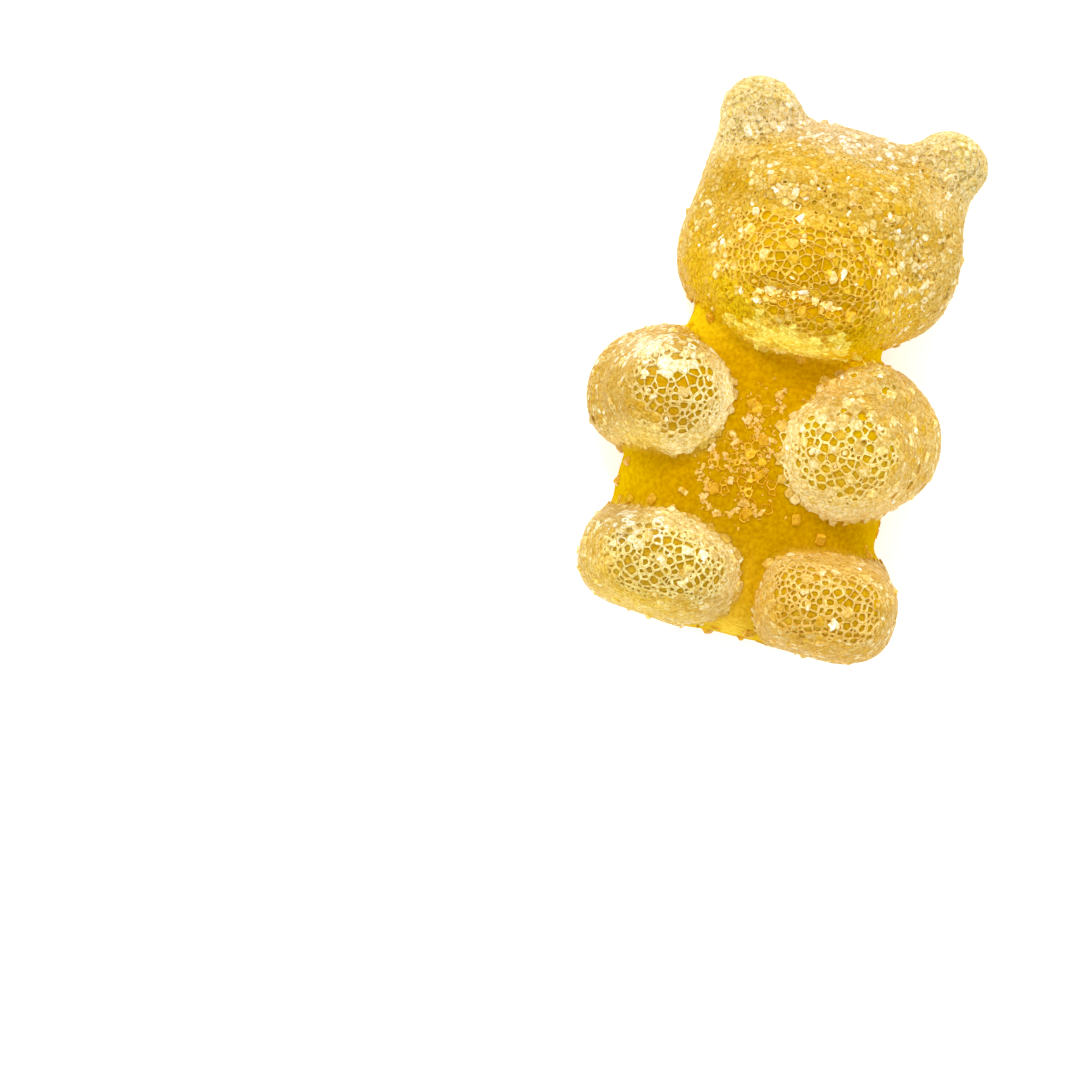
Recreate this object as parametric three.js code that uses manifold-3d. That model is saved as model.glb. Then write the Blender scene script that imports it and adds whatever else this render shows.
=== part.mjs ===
// A sugared gummy bear, one moulded piece of fruit jelly with the largest grains of its sugar
// coat. Millimetres, +Z up. The bear lies on its flat back: +Y runs to its ears, +Z out of its
// belly, and +X to the right of someone who looks down at its face. The origin is on the back,
// under the middle of the whole outline.

import * as THREE from 'three';
import { mergeVertices } from 'three/addons/utils/BufferGeometryUtils.js';
import Module from 'manifold-3d';

const wasm = await Module();
wasm.setup();

// ---- The jelly: its lumps ------------------------------------------------------------------
// A lump is an egg-like solid: its middle, half its size along X, Y and Z, and how boxy it is
// (2 is an ellipsoid). A limb is a rounded bar: a middle and a radius at each of its two ends.

const TORSO = { middle: [0.1, -4.6, 1.6], half: [5.35, 6.2, 4.9], boxy: 2.8 };
const BELLY = { middle: [-0.3, -4.2, 3.4], half: [3.7, 3.9, 3.3], boxy: 2.0 };
const NECK = { middle: [-0.1, 0.9, 1.8], half: [4.0, 2.4, 3.9], boxy: 2.4 };

const SKULL = { middle: [0.42, 5.6, 2.4], half: [5.5, 4.35, 4.2], boxy: 2.3 };
const JOWL = { middle: [-0.45, 3.65, 3.0], half: [4.2, 2.85, 4.2], boxy: 2.2 };
const MUZZLE = { middle: [0, 3.3, 5.2], half: [3.3, 2.75, 3.9], boxy: 2.4 };
const FOREHEAD = { middle: [0.1, 6.1, 4.6], half: [3.4, 2.0, 3.0], boxy: 2.2 };
const LEFT_EYE = { middle: [-1.5, 6.75, 6.9], half: [1.0, 0.6, 0.85], boxy: 2.0 };
const RIGHT_EYE = { middle: [2.3, 6.5, 6.8], half: [0.9, 0.65, 0.85], boxy: 2.0 };

const LEFT_EAR = { from: [-2.95, 7.9, 3.0], radius: 1.75, to: [-3.3, 9.35, 3.4], end: 1.66 };
const RIGHT_EAR = { from: [3.85, 8.2, 2.8], radius: 1.6, to: [4.5, 9.4, 3.3], end: 1.46 };

const LEFT_SHOULDER = { from: [-4.3, -1.0, 2.6], radius: 1.6, to: [-5.2, -2.6, 2.6], end: 1.9 };
const LEFT_PAW = { from: [-4.75, -2.05, 2.6], radius: 2.42, to: [-3.95, -2.1, 6.2], end: 2.25 };
const RIGHT_SHOULDER = { from: [4.0, -0.6, 2.6], radius: 1.8, to: [3.3, -0.9, 4.7], end: 2.05 };
const RIGHT_PAW = { from: [4.2, -1.95, 2.7], radius: 2.78, to: [3.1, -2.8, 6.2], end: 2.5 };

const LEFT_HIP = { middle: [-2.8, -8.2, 2.2], half: [2.6, 2.3, 3.2], boxy: 2.2 };
const LEFT_FOOT = { middle: [-2.6, -8.65, 3.0], half: [3.3, 2.12, 5.5], boxy: 2.5 };
const RIGHT_HIP = { middle: [4.4, -8.2, 2.2], half: [2.3, 2.3, 3.2], boxy: 2.2 };
const RIGHT_FOOT = { middle: [3.85, -8.65, 3.0], half: [2.95, 2.08, 5.3], boxy: 2.7 };

// The mouth is a shallow groove across the muzzle, between these three places.
const MOUTH_LEFT = [-2.0, 2.5, 8.62];
const MOUTH_MIDDLE = [-0.1, 2.3, 9.05];
const MOUTH_RIGHT = [1.8, 2.5, 8.73];
const MOUTH_RADIUS = 0.36;
const MOUTH_SEGMENTS = 10; // round each half of the groove

// How far two lumps run into each other where they meet.
const BELLY_BLEND = 1.2;
const NECK_BLEND = 0.9;
const FACE_BLEND = 1.4;
const LEFT_EAR_BLEND = 0.9;
const RIGHT_EAR_BLEND = 0.9;
const EYE_BLEND = 0.7;
const LIMB_BLEND = 0.5;
const CREASE_BLEND = 0.4;

// ---- The mould -----------------------------------------------------------------------------
const WALL_HEIGHT = 2.6; // the jelly's sides stand straight up to here, as the mould leaves them
const BACK_EDGE = 1.1; // how far the rounding of the back's edge reaches
const BACK_SINK = 0.12; // how much of that rounding the flat back cuts off
const RIPPLE = 0.045; // the jelly's slight unevenness

// ---- The sugar -----------------------------------------------------------------------------
const GRAIN_GAP = 1.2; // the least distance between two of the large grains
const GRAIN_LEAST = 0.3; // the shortest edge of a large grain, before its own stretch
const GRAIN_SPREAD = 0.14;
const GRAIN_RISE = 0.1; // how far a grain on top of the bear stands out of the jelly
const GRAIN_RISE_ON_WALL = 0.07; // and how far one on an upright side does
const GRAIN_TILT = 1.4;
const GRAIN_LOWEST = 0.8; // no large grain lies nearer to the back than this

// Each place that sugar clings to: a point inside the jelly, and how many directions are tried.
const SUGARED = [
  { heart: [-0.2, 3.6, 5.0], tries: 60 },
  { heart: [0.3, 6.6, 3.0], tries: 90 },
  { heart: [-3.3, 9.3, 3.2], tries: 24 },
  { heart: [4.3, 9.3, 3.0], tries: 20 },
  { heart: [-4.5, -2.1, 4.8], tries: 40 },
  { heart: [3.5, -2.4, 4.8], tries: 46 },
  { heart: [-2.6, -8.7, 4.6], tries: 46 },
  { heart: [3.8, -8.7, 4.6], tries: 42 },
  { heart: [-0.2, -4.4, 3.0], tries: 60 },
];

// ---- The mesh ------------------------------------------------------------------------------
const CELL = 0.66; // the pitch of the grid that the jelly's skin is drawn on
const REACH = [8.2, 12.0, 11.0]; // half the grid's width and length, and its height
const SKIN_PASSES = 4; // how often each of its points is drawn nearer to the surface
const OUTWARD_STEPS = 60; // the steps of a line that looks for its way out of the jelly
const STEP_CAUTION = 0.7; // the share of the distance left that each of them takes

// ---- Distances -----------------------------------------------------------------------------
// Each function below takes a point and gives about how far it lies outside the shape, or a
// negative number inside it.

/** An egg-like solid: the sum of the scaled offsets, each raised to a power, is 1 on its skin. */
function lump({ middle, half, boxy }) {
  return (x, y, z) => {
    const u = Math.abs(x - middle[0]) / half[0] + 1e-6;
    const v = Math.abs(y - middle[1]) / half[1] + 1e-6;
    const w = Math.abs(z - middle[2]) / half[2] + 1e-6;
    const level = (u ** boxy + v ** boxy + w ** boxy) ** (1 / boxy);
    const power = boxy - 1;
    const slope = Math.hypot(u ** power / half[0], v ** power / half[1], w ** power / half[2]);
    return (level - 1) / (level ** (1 - boxy) * slope);
  };
}

/** A bar between two balls: the radius changes evenly along it. */
function limb({ from, radius, to, end }) {
  const axis = to.map((value, i) => value - from[i]);
  const squared = axis[0] ** 2 + axis[1] ** 2 + axis[2] ** 2;
  return (x, y, z) => {
    const a = [x - from[0], y - from[1], z - from[2]];
    const along = (a[0] * axis[0] + a[1] * axis[1] + a[2] * axis[2]) / squared;
    const share = Math.min(1, Math.max(0, along));
    const gap = Math.hypot(a[0] - share * axis[0], a[1] - share * axis[1], a[2] - share * axis[2]);
    return gap - (radius + share * (end - radius));
  };
}

/** Two shapes as one, with a fillet of the given reach in the crease between them. */
function join(first, second, reach) {
  return (x, y, z) => {
    const a = first(x, y, z);
    const b = second(x, y, z);
    const near = Math.max(reach - Math.abs(a - b), 0);
    return Math.min(a, b) - (near * near) / (4 * reach);
  };
}

function makeBody() {
  const trunk = join(lump(TORSO), lump(BELLY), BELLY_BLEND);
  return join(trunk, lump(NECK), NECK_BLEND);
}

function makeHead() {
  let head = join(lump(SKULL), lump(JOWL), FACE_BLEND);
  head = join(head, lump(MUZZLE), FACE_BLEND);
  head = join(head, lump(FOREHEAD), FACE_BLEND);
  head = join(head, lump(LEFT_EYE), EYE_BLEND);
  head = join(head, lump(RIGHT_EYE), EYE_BLEND);
  head = join(head, limb(LEFT_EAR), LEFT_EAR_BLEND);
  return join(head, limb(RIGHT_EAR), RIGHT_EAR_BLEND);
}

function makeBear() {
  const limbs = [
    join(limb(LEFT_PAW), limb(LEFT_SHOULDER), LIMB_BLEND),
    join(limb(RIGHT_PAW), limb(RIGHT_SHOULDER), LIMB_BLEND),
    join(lump(LEFT_FOOT), lump(LEFT_HIP), LIMB_BLEND),
    join(lump(RIGHT_FOOT), lump(RIGHT_HIP), LIMB_BLEND),
  ];
  return limbs.reduce(
    (bear, next) => join(bear, next, CREASE_BLEND),
    join(makeBody(), makeHead(), CREASE_BLEND),
  );
}

/** Three slow waves that cross each other. */
function ripple(x, y, z) {
  const waves = Math.sin(1.7 * x + 0.5 * y) + Math.sin(1.3 * y - 0.9 * z + 1);
  return RIPPLE * (waves + Math.sin(1.9 * z + 1.1 * x + 2));
}

const bear = makeBear();

/** The whole bear: straight mould walls up to WALL_HEIGHT, and a rounded edge at the back. */
function jelly(x, y, z) {
  const body = bear(x, y, Math.max(z, WALL_HEIGHT)) + ripple(x, y, z);
  const below = -(z + BACK_SINK);
  const near = Math.max(BACK_EDGE - Math.abs(body - below), 0);
  return Math.max(body, below) + (near * near) / (4 * BACK_EDGE);
}

/** The direction in which the distance grows fastest, with its rate. */
function slopeAt(x, y, z) {
  const h = 0.01;
  return new THREE.Vector3(
    (jelly(x + h, y, z) - jelly(x - h, y, z)) / (2 * h),
    (jelly(x, y + h, z) - jelly(x, y - h, z)) / (2 * h),
    (jelly(x, y, z + h) - jelly(x, y, z - h)) / (2 * h),
  );
}

// ---- The jelly's skin ----------------------------------------------------------------------

/** A closed skin: one point in each grid cell that the surface crosses, and one four-sided face
 * across each grid edge that it cuts. The points are then drawn onto the surface. */
function makeSkin() {
  const counts = REACH.map((reach, i) => Math.ceil((i < 2 ? 2 * reach : reach + 1) / CELL) + 1);
  const origin = [-REACH[0], -REACH[1], -1];
  const [nx, ny, nz] = counts;
  const at = (i, j, k) => (i * ny + j) * nz + k;
  const level = new Float32Array(nx * ny * nz);
  for (let i = 0; i < nx; i++) {
    for (let j = 0; j < ny; j++) {
      for (let k = 0; k < nz; k++) {
        const place = [i, j, k].map((n, axis) => origin[axis] + n * CELL);
        level[at(i, j, k)] = jelly(...place);
      }
    }
  }

  const points = [];
  const pointOf = new Int32Array(nx * ny * nz).fill(-1);
  for (let i = 0; i < nx - 1; i++) {
    for (let j = 0; j < ny - 1; j++) {
      for (let k = 0; k < nz - 1; k++) {
        const middle = cellPoint([i, j, k], at, level);
        if (!middle) continue;
        pointOf[at(i, j, k)] = points.length;
        points.push(ontoSurface(middle.map((n, axis) => origin[axis] + n * CELL)));
      }
    }
  }

  const faces = [];
  for (let i = 1; i < nx - 1; i++) {
    for (let j = 1; j < ny - 1; j++) {
      for (let k = 1; k < nz - 1; k++) {
        const inside = level[at(i, j, k)] < 0;
        const around = [
          [at(i + 1, j, k), [[0, 0, 0], [0, -1, 0], [0, -1, -1], [0, 0, -1]]],
          [at(i, j + 1, k), [[0, 0, 0], [0, 0, -1], [-1, 0, -1], [-1, 0, 0]]],
          [at(i, j, k + 1), [[0, 0, 0], [-1, 0, 0], [-1, -1, 0], [0, -1, 0]]],
        ];
        for (const [next, cells] of around) {
          if (inside === level[next] < 0) continue;
          const loop = cells.map(([a, b, c]) => pointOf[at(i + a, j + b, k + c)]);
          faces.push(...splitFace(inside ? loop : loop.reverse(), points));
        }
      }
    }
  }
  return { points: points.flat(), faces };
}

/** The middle of the places where the surface cuts a cell's twelve edges, or null. */
function cellPoint([i, j, k], at, level) {
  const sum = [0, 0, 0];
  let cuts = 0;
  for (let axis = 0; axis < 3; axis++) {
    for (let corner = 0; corner < 4; corner++) {
      const low = [i, j, k];
      low[(axis + 1) % 3] += corner & 1;
      low[(axis + 2) % 3] += corner >> 1;
      const high = low.map((n, index) => n + (index === axis ? 1 : 0));
      const a = level[at(...low)];
      const b = level[at(...high)];
      if (a < 0 === b < 0) continue;
      low[axis] += a / (a - b);
      low.forEach((n, index) => {
        sum[index] += n;
      });
      cuts++;
    }
  }
  return cuts ? sum.map((n) => n / cuts) : null;
}

/** Walks a point down or up the slope until it lies on the jelly's surface. */
function ontoSurface(place) {
  const point = new THREE.Vector3(...place);
  for (let pass = 0; pass < SKIN_PASSES; pass++) {
    const slope = slopeAt(point.x, point.y, point.z);
    const step = jelly(point.x, point.y, point.z) / slope.lengthSq();
    point.addScaledVector(slope, -THREE.MathUtils.clamp(step, -CELL / 4, CELL / 4));
  }
  return point.toArray();
}

/** Two triangles, split along the shorter diagonal. */
function splitFace([a, b, c, d], points) {
  const apart = (p, q) => Math.hypot(...points[p].map((value, i) => value - points[q][i]));
  return apart(a, c) < apart(b, d) ? [a, b, c, a, c, d] : [a, b, d, b, c, d];
}

// ---- The sugar's largest grains ------------------------------------------------------------

/** Directions spread evenly over a ball, each a golden angle on from the last. */
function directions(count) {
  const golden = Math.PI * (3 - Math.sqrt(5));
  return Array.from({ length: count }, (_, i) => {
    const height = 1 - (2 * i + 1) / count;
    const ring = Math.sqrt(1 - height * height);
    return new THREE.Vector3(ring * Math.cos(i * golden), ring * Math.sin(i * golden), height);
  });
}

/** The place where a line out of the jelly leaves it. */
function wayOut(heart, direction) {
  const point = new THREE.Vector3(...heart);
  for (let step = 0; step < OUTWARD_STEPS; step++) {
    point.addScaledVector(direction, -STEP_CAUTION * jelly(point.x, point.y, point.z));
  }
  return point;
}

/** Places for the large grains: where lines out of each sugared place leave the jelly, clear of
 * the back and of one another. */
function grainPlaces() {
  const places = [];
  for (const { heart, tries } of SUGARED) {
    for (const direction of directions(tries)) {
      const place = wayOut(heart, direction);
      const crowded = places.some((other) => other.distanceTo(place) < GRAIN_GAP);
      if (place.z > GRAIN_LOWEST && !crowded) places.push(place);
    }
  }
  return places;
}

/** A number from 0 to 1 that looks random, the same on each run. */
function draw(index, which) {
  const value = Math.sin(index * 12.9898 + which * 78.233) * 43758.5453;
  return value - Math.floor(value);
}

/** One grain: a small box, a little tilted, sunk to more than its middle in the jelly's skin. */
function makeGrain(place, index) {
  const size = [0, 1, 2].map((axis) => GRAIN_LEAST + GRAIN_SPREAD * draw(index, axis));
  const box = new THREE.BoxGeometry(...size);
  const outward = slopeAt(place.x, place.y, place.z).normalize();
  const lean = new THREE.Vector3(draw(index, 3), draw(index, 4), draw(index, 5));
  lean.subScalar(0.5).multiplyScalar(GRAIN_TILT);
  const up = outward.clone().add(lean).normalize();
  const turn = new THREE.Quaternion().setFromUnitVectors(new THREE.Vector3(0, 0, 1), up);
  const spin = new THREE.Quaternion().setFromAxisAngle(up, Math.PI * draw(index, 6));
  const rise = THREE.MathUtils.lerp(GRAIN_RISE_ON_WALL, GRAIN_RISE, Math.max(outward.z, 0));
  const middle = place.clone().addScaledVector(outward, rise - size[2] / 2);
  box.applyQuaternion(spin.multiply(turn));
  return solidOf(box.translate(middle.x, middle.y, middle.z));
}

// ---- Solids --------------------------------------------------------------------------------

function solidFrom(points, faces) {
  return new wasm.Manifold(new wasm.Mesh({
    numProp: 3,
    vertProperties: Float32Array.from(points),
    triVerts: Uint32Array.from(faces),
  }));
}

/** A solid from one of three.js's own shapes. */
function solidOf(shape) {
  shape.deleteAttribute('normal');
  shape.deleteAttribute('uv');
  const merged = mergeVertices(shape);
  return solidFrom(merged.getAttribute('position').array, merged.getIndex().array);
}

/** A block that holds everything above the flat back. */
function makeAboveBack() {
  return solidOf(new THREE.BoxGeometry(40, 40, 40).translate(0, 0, 20));
}

/** Half of the mouth: a round bar between two places, to be cut out of the muzzle. */
function makeMouthHalf(from, to) {
  const start = new THREE.Vector3(...from);
  const along = new THREE.Vector3(...to).sub(start);
  const bar = new THREE.CapsuleGeometry(MOUTH_RADIUS, along.length(), 3, MOUTH_SEGMENTS);
  const middle = start.addScaledVector(along, 0.5);
  bar.applyQuaternion(
    new THREE.Quaternion().setFromUnitVectors(new THREE.Vector3(0, 1, 0), along.normalize()),
  );
  return solidOf(bar.translate(middle.x, middle.y, middle.z));
}

function geometryFrom(solid) {
  const { vertProperties, triVerts } = solid.getMesh();
  const geometry = new THREE.BufferGeometry();
  geometry.setAttribute('position', new THREE.BufferAttribute(vertProperties, 3));
  geometry.setIndex(new THREE.BufferAttribute(triVerts, 1));
  geometry.computeVertexNormals();
  return geometry;
}

function makeGummyBear() {
  const skin = makeSkin();
  let solid = solidFrom(skin.points, skin.faces).intersect(makeAboveBack());
  solid = solid.subtract(makeMouthHalf(MOUTH_LEFT, MOUTH_MIDDLE));
  solid = solid.subtract(makeMouthHalf(MOUTH_MIDDLE, MOUTH_RIGHT));
  grainPlaces().forEach((place, index) => {
    solid = solid.add(makeGrain(place, index));
  });
  const sugaredJelly = new THREE.MeshStandardMaterial({
    color: new THREE.Color(0.93, 0.74, 0.3),
    roughness: 0.55,
    metalness: 0,
  });
  const mesh = new THREE.Mesh(geometryFrom(solid), sugaredJelly);
  mesh.name = 'gummy_bear';
  return mesh;
}

const model = new THREE.Group();
model.add(makeGummyBear());

export default model;
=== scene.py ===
"""A sugared gummy bear, lying on its flat back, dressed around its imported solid.

The jelly is a translucent amber core. Over it lies the sugar coat: a mosaic of fused grains,
each a small cell with a pale rim round a clear window, or under a clouded lid, and loose grains
of sugar on top. Lengths are in millimetres unless a comment says otherwise.
"""

import math

import bpy
import numpy as np
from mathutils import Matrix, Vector


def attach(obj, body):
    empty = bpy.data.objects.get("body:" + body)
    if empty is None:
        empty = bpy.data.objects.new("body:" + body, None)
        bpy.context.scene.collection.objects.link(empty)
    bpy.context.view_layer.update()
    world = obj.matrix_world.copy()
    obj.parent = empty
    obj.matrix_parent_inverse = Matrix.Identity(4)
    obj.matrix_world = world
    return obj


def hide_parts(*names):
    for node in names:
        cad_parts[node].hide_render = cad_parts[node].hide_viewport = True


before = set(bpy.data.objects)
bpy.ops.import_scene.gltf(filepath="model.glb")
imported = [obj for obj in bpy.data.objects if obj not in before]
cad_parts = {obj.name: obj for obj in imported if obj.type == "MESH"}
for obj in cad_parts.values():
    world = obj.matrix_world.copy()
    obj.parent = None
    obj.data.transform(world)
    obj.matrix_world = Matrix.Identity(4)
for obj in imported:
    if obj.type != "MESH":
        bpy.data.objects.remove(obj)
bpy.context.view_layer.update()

MM = 0.001
rng = np.random.default_rng(7)

# The camera looks straight down.
PIXELS = 1080
PIXELS_PER_MM = 25.2     # on the level FOCUS_HEIGHT
FOCUS_HEIGHT = 3.5       # above the floor
CAMERA_DISTANCE = 150    # from that level
LEAN_DEGREES = 14.7      # how far the bear leans to the right, as the camera sees it
VIEW_MIDDLE = (-7.567, -9.001)         # the X and Y that it stands over

# ---- The jelly's lumps, in millimetres, as in the solid -------------------------------------
# A lump: its middle, half its size along X, Y and Z, and how boxy it is. A limb: a middle and
# a radius at each end.

TORSO = ((0.1, -4.6, 1.6), (5.35, 6.2, 4.9), 2.8)
BELLY = ((-0.3, -4.2, 3.4), (3.7, 3.9, 3.3), 2.0)
NECK = ((-0.1, 0.9, 1.8), (4.0, 2.4, 3.9), 2.4)

SKULL = ((0.42, 5.6, 2.4), (5.5, 4.35, 4.2), 2.3)
JOWL = ((-0.45, 3.65, 3.0), (4.2, 2.85, 4.2), 2.2)
MUZZLE = ((0.0, 3.3, 5.2), (3.3, 2.75, 3.9), 2.4)
FOREHEAD = ((0.1, 6.1, 4.6), (3.4, 2.0, 3.0), 2.2)
LEFT_EYE = ((-1.5, 6.75, 6.9), (1.0, 0.6, 0.85), 2.0)
RIGHT_EYE = ((2.3, 6.5, 6.8), (0.9, 0.65, 0.85), 2.0)

LEFT_EAR = ((-2.95, 7.9, 3.0), 1.75, (-3.3, 9.35, 3.4), 1.66)
RIGHT_EAR = ((3.85, 8.2, 2.8), 1.6, (4.5, 9.4, 3.3), 1.46)

LEFT_SHOULDER = ((-4.3, -1.0, 2.6), 1.6, (-5.2, -2.6, 2.6), 1.9)
LEFT_PAW = ((-4.75, -2.05, 2.6), 2.42, (-3.95, -2.1, 6.2), 2.25)
RIGHT_SHOULDER = ((4.0, -0.6, 2.6), 1.8, (3.3, -0.9, 4.7), 2.05)
RIGHT_PAW = ((4.2, -1.95, 2.7), 2.78, (3.1, -2.8, 6.2), 2.5)

LEFT_HIP = ((-2.8, -8.2, 2.2), (2.6, 2.3, 3.2), 2.2)
LEFT_FOOT = ((-2.6, -8.65, 3.0), (3.3, 2.12, 5.5), 2.5)
RIGHT_HIP = ((4.4, -8.2, 2.2), (2.3, 2.3, 3.2), 2.2)
RIGHT_FOOT = ((3.85, -8.65, 3.0), (2.95, 2.08, 5.3), 2.7)

MOUTH_LEFT = (-2.0, 2.5, 8.62)
MOUTH_MIDDLE = (-0.1, 2.3, 9.05)
MOUTH_RIGHT = (1.8, 2.5, 8.73)
MOUTH_RADIUS = 0.36

# How far two lumps run into each other where they meet.
BELLY_BLEND = 1.2
NECK_BLEND = 0.9
FACE_BLEND = 1.4
LEFT_EAR_BLEND = 0.9
RIGHT_EAR_BLEND = 0.9
EYE_BLEND = 0.7
MOUTH_BLEND = 0.3
LIMB_BLEND = 0.5
CREASE_BLEND = 0.4

WALL_HEIGHT = 2.6        # the sides stand straight up to here, as the mould leaves them
BACK_EDGE = 1.1          # how far the rounding of the back's edge reaches
BACK_SINK = 0.12         # how much of that rounding the flat back cuts off
RIPPLE = 0.045           # the jelly's slight unevenness
# Its three slow waves: how fast each turns along X, Y and Z, and where it starts.
RIPPLE_WAVES = ((1.7, 0.5, 0, 0), (0, 1.3, -0.9, 1), (1.1, 0, 1.9, 2))

SLOPE_REACH = 0.01       # how far to each side a slope is measured
LEAST_RATE = 0.2         # the least slope, squared, that a walk onto the skin reckons with
LONGEST_STEP = 0.15      # of such a walk


# ---- The jelly's form -----------------------------------------------------------------------

def lump(p, shape):
    """Distance to an egg-like solid: the scaled offsets, each to a power, sum to 1 on it."""
    middle, half, boxy = shape
    u, v, w = (np.abs(p[i] - middle[i]) / half[i] + 1e-6 for i in range(3))
    level = (u**boxy + v**boxy + w**boxy) ** (1 / boxy)
    power = boxy - 1
    slope = np.sqrt(
        (u**power / half[0]) ** 2 + (v**power / half[1]) ** 2 + (w**power / half[2]) ** 2
    )
    return (level - 1) / (level ** (1 - boxy) * slope)


def limb(p, shape):
    """Distance to a bar between two balls, whose radius changes evenly along it."""
    start, radius, end, end_radius = shape
    axis = [end[i] - start[i] for i in range(3)]
    squared = sum(a * a for a in axis)
    share = np.clip(sum((p[i] - start[i]) * axis[i] for i in range(3)) / squared, 0, 1)
    gap = np.sqrt(sum((p[i] - start[i] - share * axis[i]) ** 2 for i in range(3)))
    return gap - (radius + share * (end_radius - radius))


def join(a, b, reach):
    """The smaller of two distances, with a fillet in the crease."""
    near = np.maximum(reach - np.abs(a - b), 0)
    return np.minimum(a, b) - near * near / (4 * reach)


def carve(a, b, reach):
    """The first shape with the second cut out of it, the edge softened."""
    return -join(-a, b, reach)


def jelly(p):
    """Distance to the whole bear: lumps and limbs joined, slow ripples, and a flat back."""
    x, y, z = p
    q = (x, y, np.maximum(z, WALL_HEIGHT))
    body = join(join(lump(q, TORSO), lump(q, BELLY), BELLY_BLEND), lump(q, NECK), NECK_BLEND)
    head = join(lump(q, SKULL), lump(q, JOWL), FACE_BLEND)
    for part in (MUZZLE, FOREHEAD):
        head = join(head, lump(q, part), FACE_BLEND)
    for part in (LEFT_EYE, RIGHT_EYE):
        head = join(head, lump(q, part), EYE_BLEND)
    for end in (MOUTH_LEFT, MOUTH_RIGHT):
        head = carve(head, limb(q, (end, MOUTH_RADIUS, MOUTH_MIDDLE, MOUTH_RADIUS)), MOUTH_BLEND)
    for ear, blend in ((LEFT_EAR, LEFT_EAR_BLEND), (RIGHT_EAR, RIGHT_EAR_BLEND)):
        head = join(head, limb(q, ear), blend)
    bear = join(body, head, CREASE_BLEND)
    for paw, shoulder in ((LEFT_PAW, LEFT_SHOULDER), (RIGHT_PAW, RIGHT_SHOULDER)):
        bear = join(bear, join(limb(q, paw), limb(q, shoulder), LIMB_BLEND), CREASE_BLEND)
    for foot, hip in ((LEFT_FOOT, LEFT_HIP), (RIGHT_FOOT, RIGHT_HIP)):
        bear = join(bear, join(lump(q, foot), lump(q, hip), LIMB_BLEND), CREASE_BLEND)
    bear = bear + RIPPLE * sum(np.sin(a * x + b * y + c * z + d) for a, b, c, d in RIPPLE_WAVES)
    below = -(z + BACK_SINK)
    near = np.maximum(BACK_EDGE - np.abs(bear - below), 0)
    return np.maximum(bear, below) + near * near / (4 * BACK_EDGE)


def skin(p):
    """Distance to the outside of the coat: the jelly, cut flat at the back."""
    return np.maximum(jelly(p), -p[2])


def slope_at(form, points):
    """The gradient of a distance, by central differences. points is (n, 3)."""
    columns = []
    for step in SLOPE_REACH * np.eye(3):
        ahead, behind = points + step, points - step
        columns.append((form(tuple(ahead.T)) - form(tuple(behind.T))) / (2 * SLOPE_REACH))
    return np.stack(columns, axis=1)


def onto(form, points, level=0.0, passes=4):
    """Walks points down the slope until the distance equals level."""
    for _ in range(passes):
        slope = slope_at(form, points)
        rate = np.maximum((slope**2).sum(1), LEAST_RATE)
        step = np.clip((form(tuple(points.T)) - level) / rate, -LONGEST_STEP, LONGEST_STEP)
        points = points - step[:, None] * slope
    return points


def unit(vectors):
    """The same directions, each of length 1."""
    return vectors / np.maximum(np.linalg.norm(vectors, axis=-1, keepdims=True), 1e-9)


def rising(values, start, span):
    """0 at start and 1 a span further on, even between and level outside. A negative span leads
    downwards."""
    return np.clip((values - start) / span, 0, 1)


# ---- Meshes from arrays ---------------------------------------------------------------------

GRID_LOW = np.array((-8.2, -12.0, -0.6))
GRID_HIGH = np.array((8.2, 12.0, 10.6))


def surface_net(form, level, pitch):
    """A closed skin on a grid: one point in each cell that the surface crosses, at the mean of
    the cuts on the cell's edges, and one four-sided face across each grid edge that is cut."""
    counts = np.ceil((GRID_HIGH - GRID_LOW) / pitch).astype(int) + 1
    ticks = [GRID_LOW[a] + pitch * np.arange(counts[a]) for a in range(3)]
    value = form(np.meshgrid(*ticks, indexing="ij")) - level
    cells = tuple(counts - 1)
    total, cuts = np.zeros(cells + (3,)), np.zeros(cells)
    crossed = []
    for axis in range(3):
        a = np.moveaxis(value, axis, 0)
        before, after = a[:-1], a[1:]
        cut = (before < 0) != (after < 0)
        share = np.where(cut, before / np.where(cut, before - after, 1), 0)
        cut, share = np.moveaxis(cut, 0, axis), np.moveaxis(share, 0, axis)
        crossed.append(cut)
        others = [other for other in range(3) if other != axis]
        for corner in np.ndindex(2, 2):
            window = [slice(None)] * 3
            for other, c in zip(others, corner):
                window[other] = slice(c, c + cells[other])
            here = cut[tuple(window)]
            cuts += here
            total[..., axis] += share[tuple(window)] * here
            for other, c in zip(others, corner):
                total[..., other] += c * here
    used = cuts > 0
    number = np.full(cells, -1)
    number[used] = np.arange(used.sum())
    place = np.stack(np.nonzero(used), axis=1) + total[used] / cuts[used][:, None]
    points = GRID_LOW + pitch * place
    faces = []
    for axis in range(3):
        u, v = (axis + 1) % 3, (axis + 2) % 3
        at = np.stack(np.nonzero(crossed[axis]), axis=1)
        at = at[(at[:, u] > 0) & (at[:, v] > 0) & (at[:, u] < cells[u]) & (at[:, v] < cells[v])]
        loop = []
        for du, dv in ((0, 0), (-1, 0), (-1, -1), (0, -1)):
            cell = at.copy()
            cell[:, u] += du
            cell[:, v] += dv
            loop.append(number[tuple(cell.T)])
        loop = np.stack(loop, axis=1)
        inside = value[tuple(at.T)] < 0
        faces.append(np.where(inside[:, None], loop, loop[:, ::-1]))
    return points, np.concatenate(faces)


def new_object(name, data):
    """An object in the scene that shows this mesh, lamp or camera."""
    made = bpy.data.objects.new(name, data)
    bpy.context.scene.collection.objects.link(made)
    return made


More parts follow.
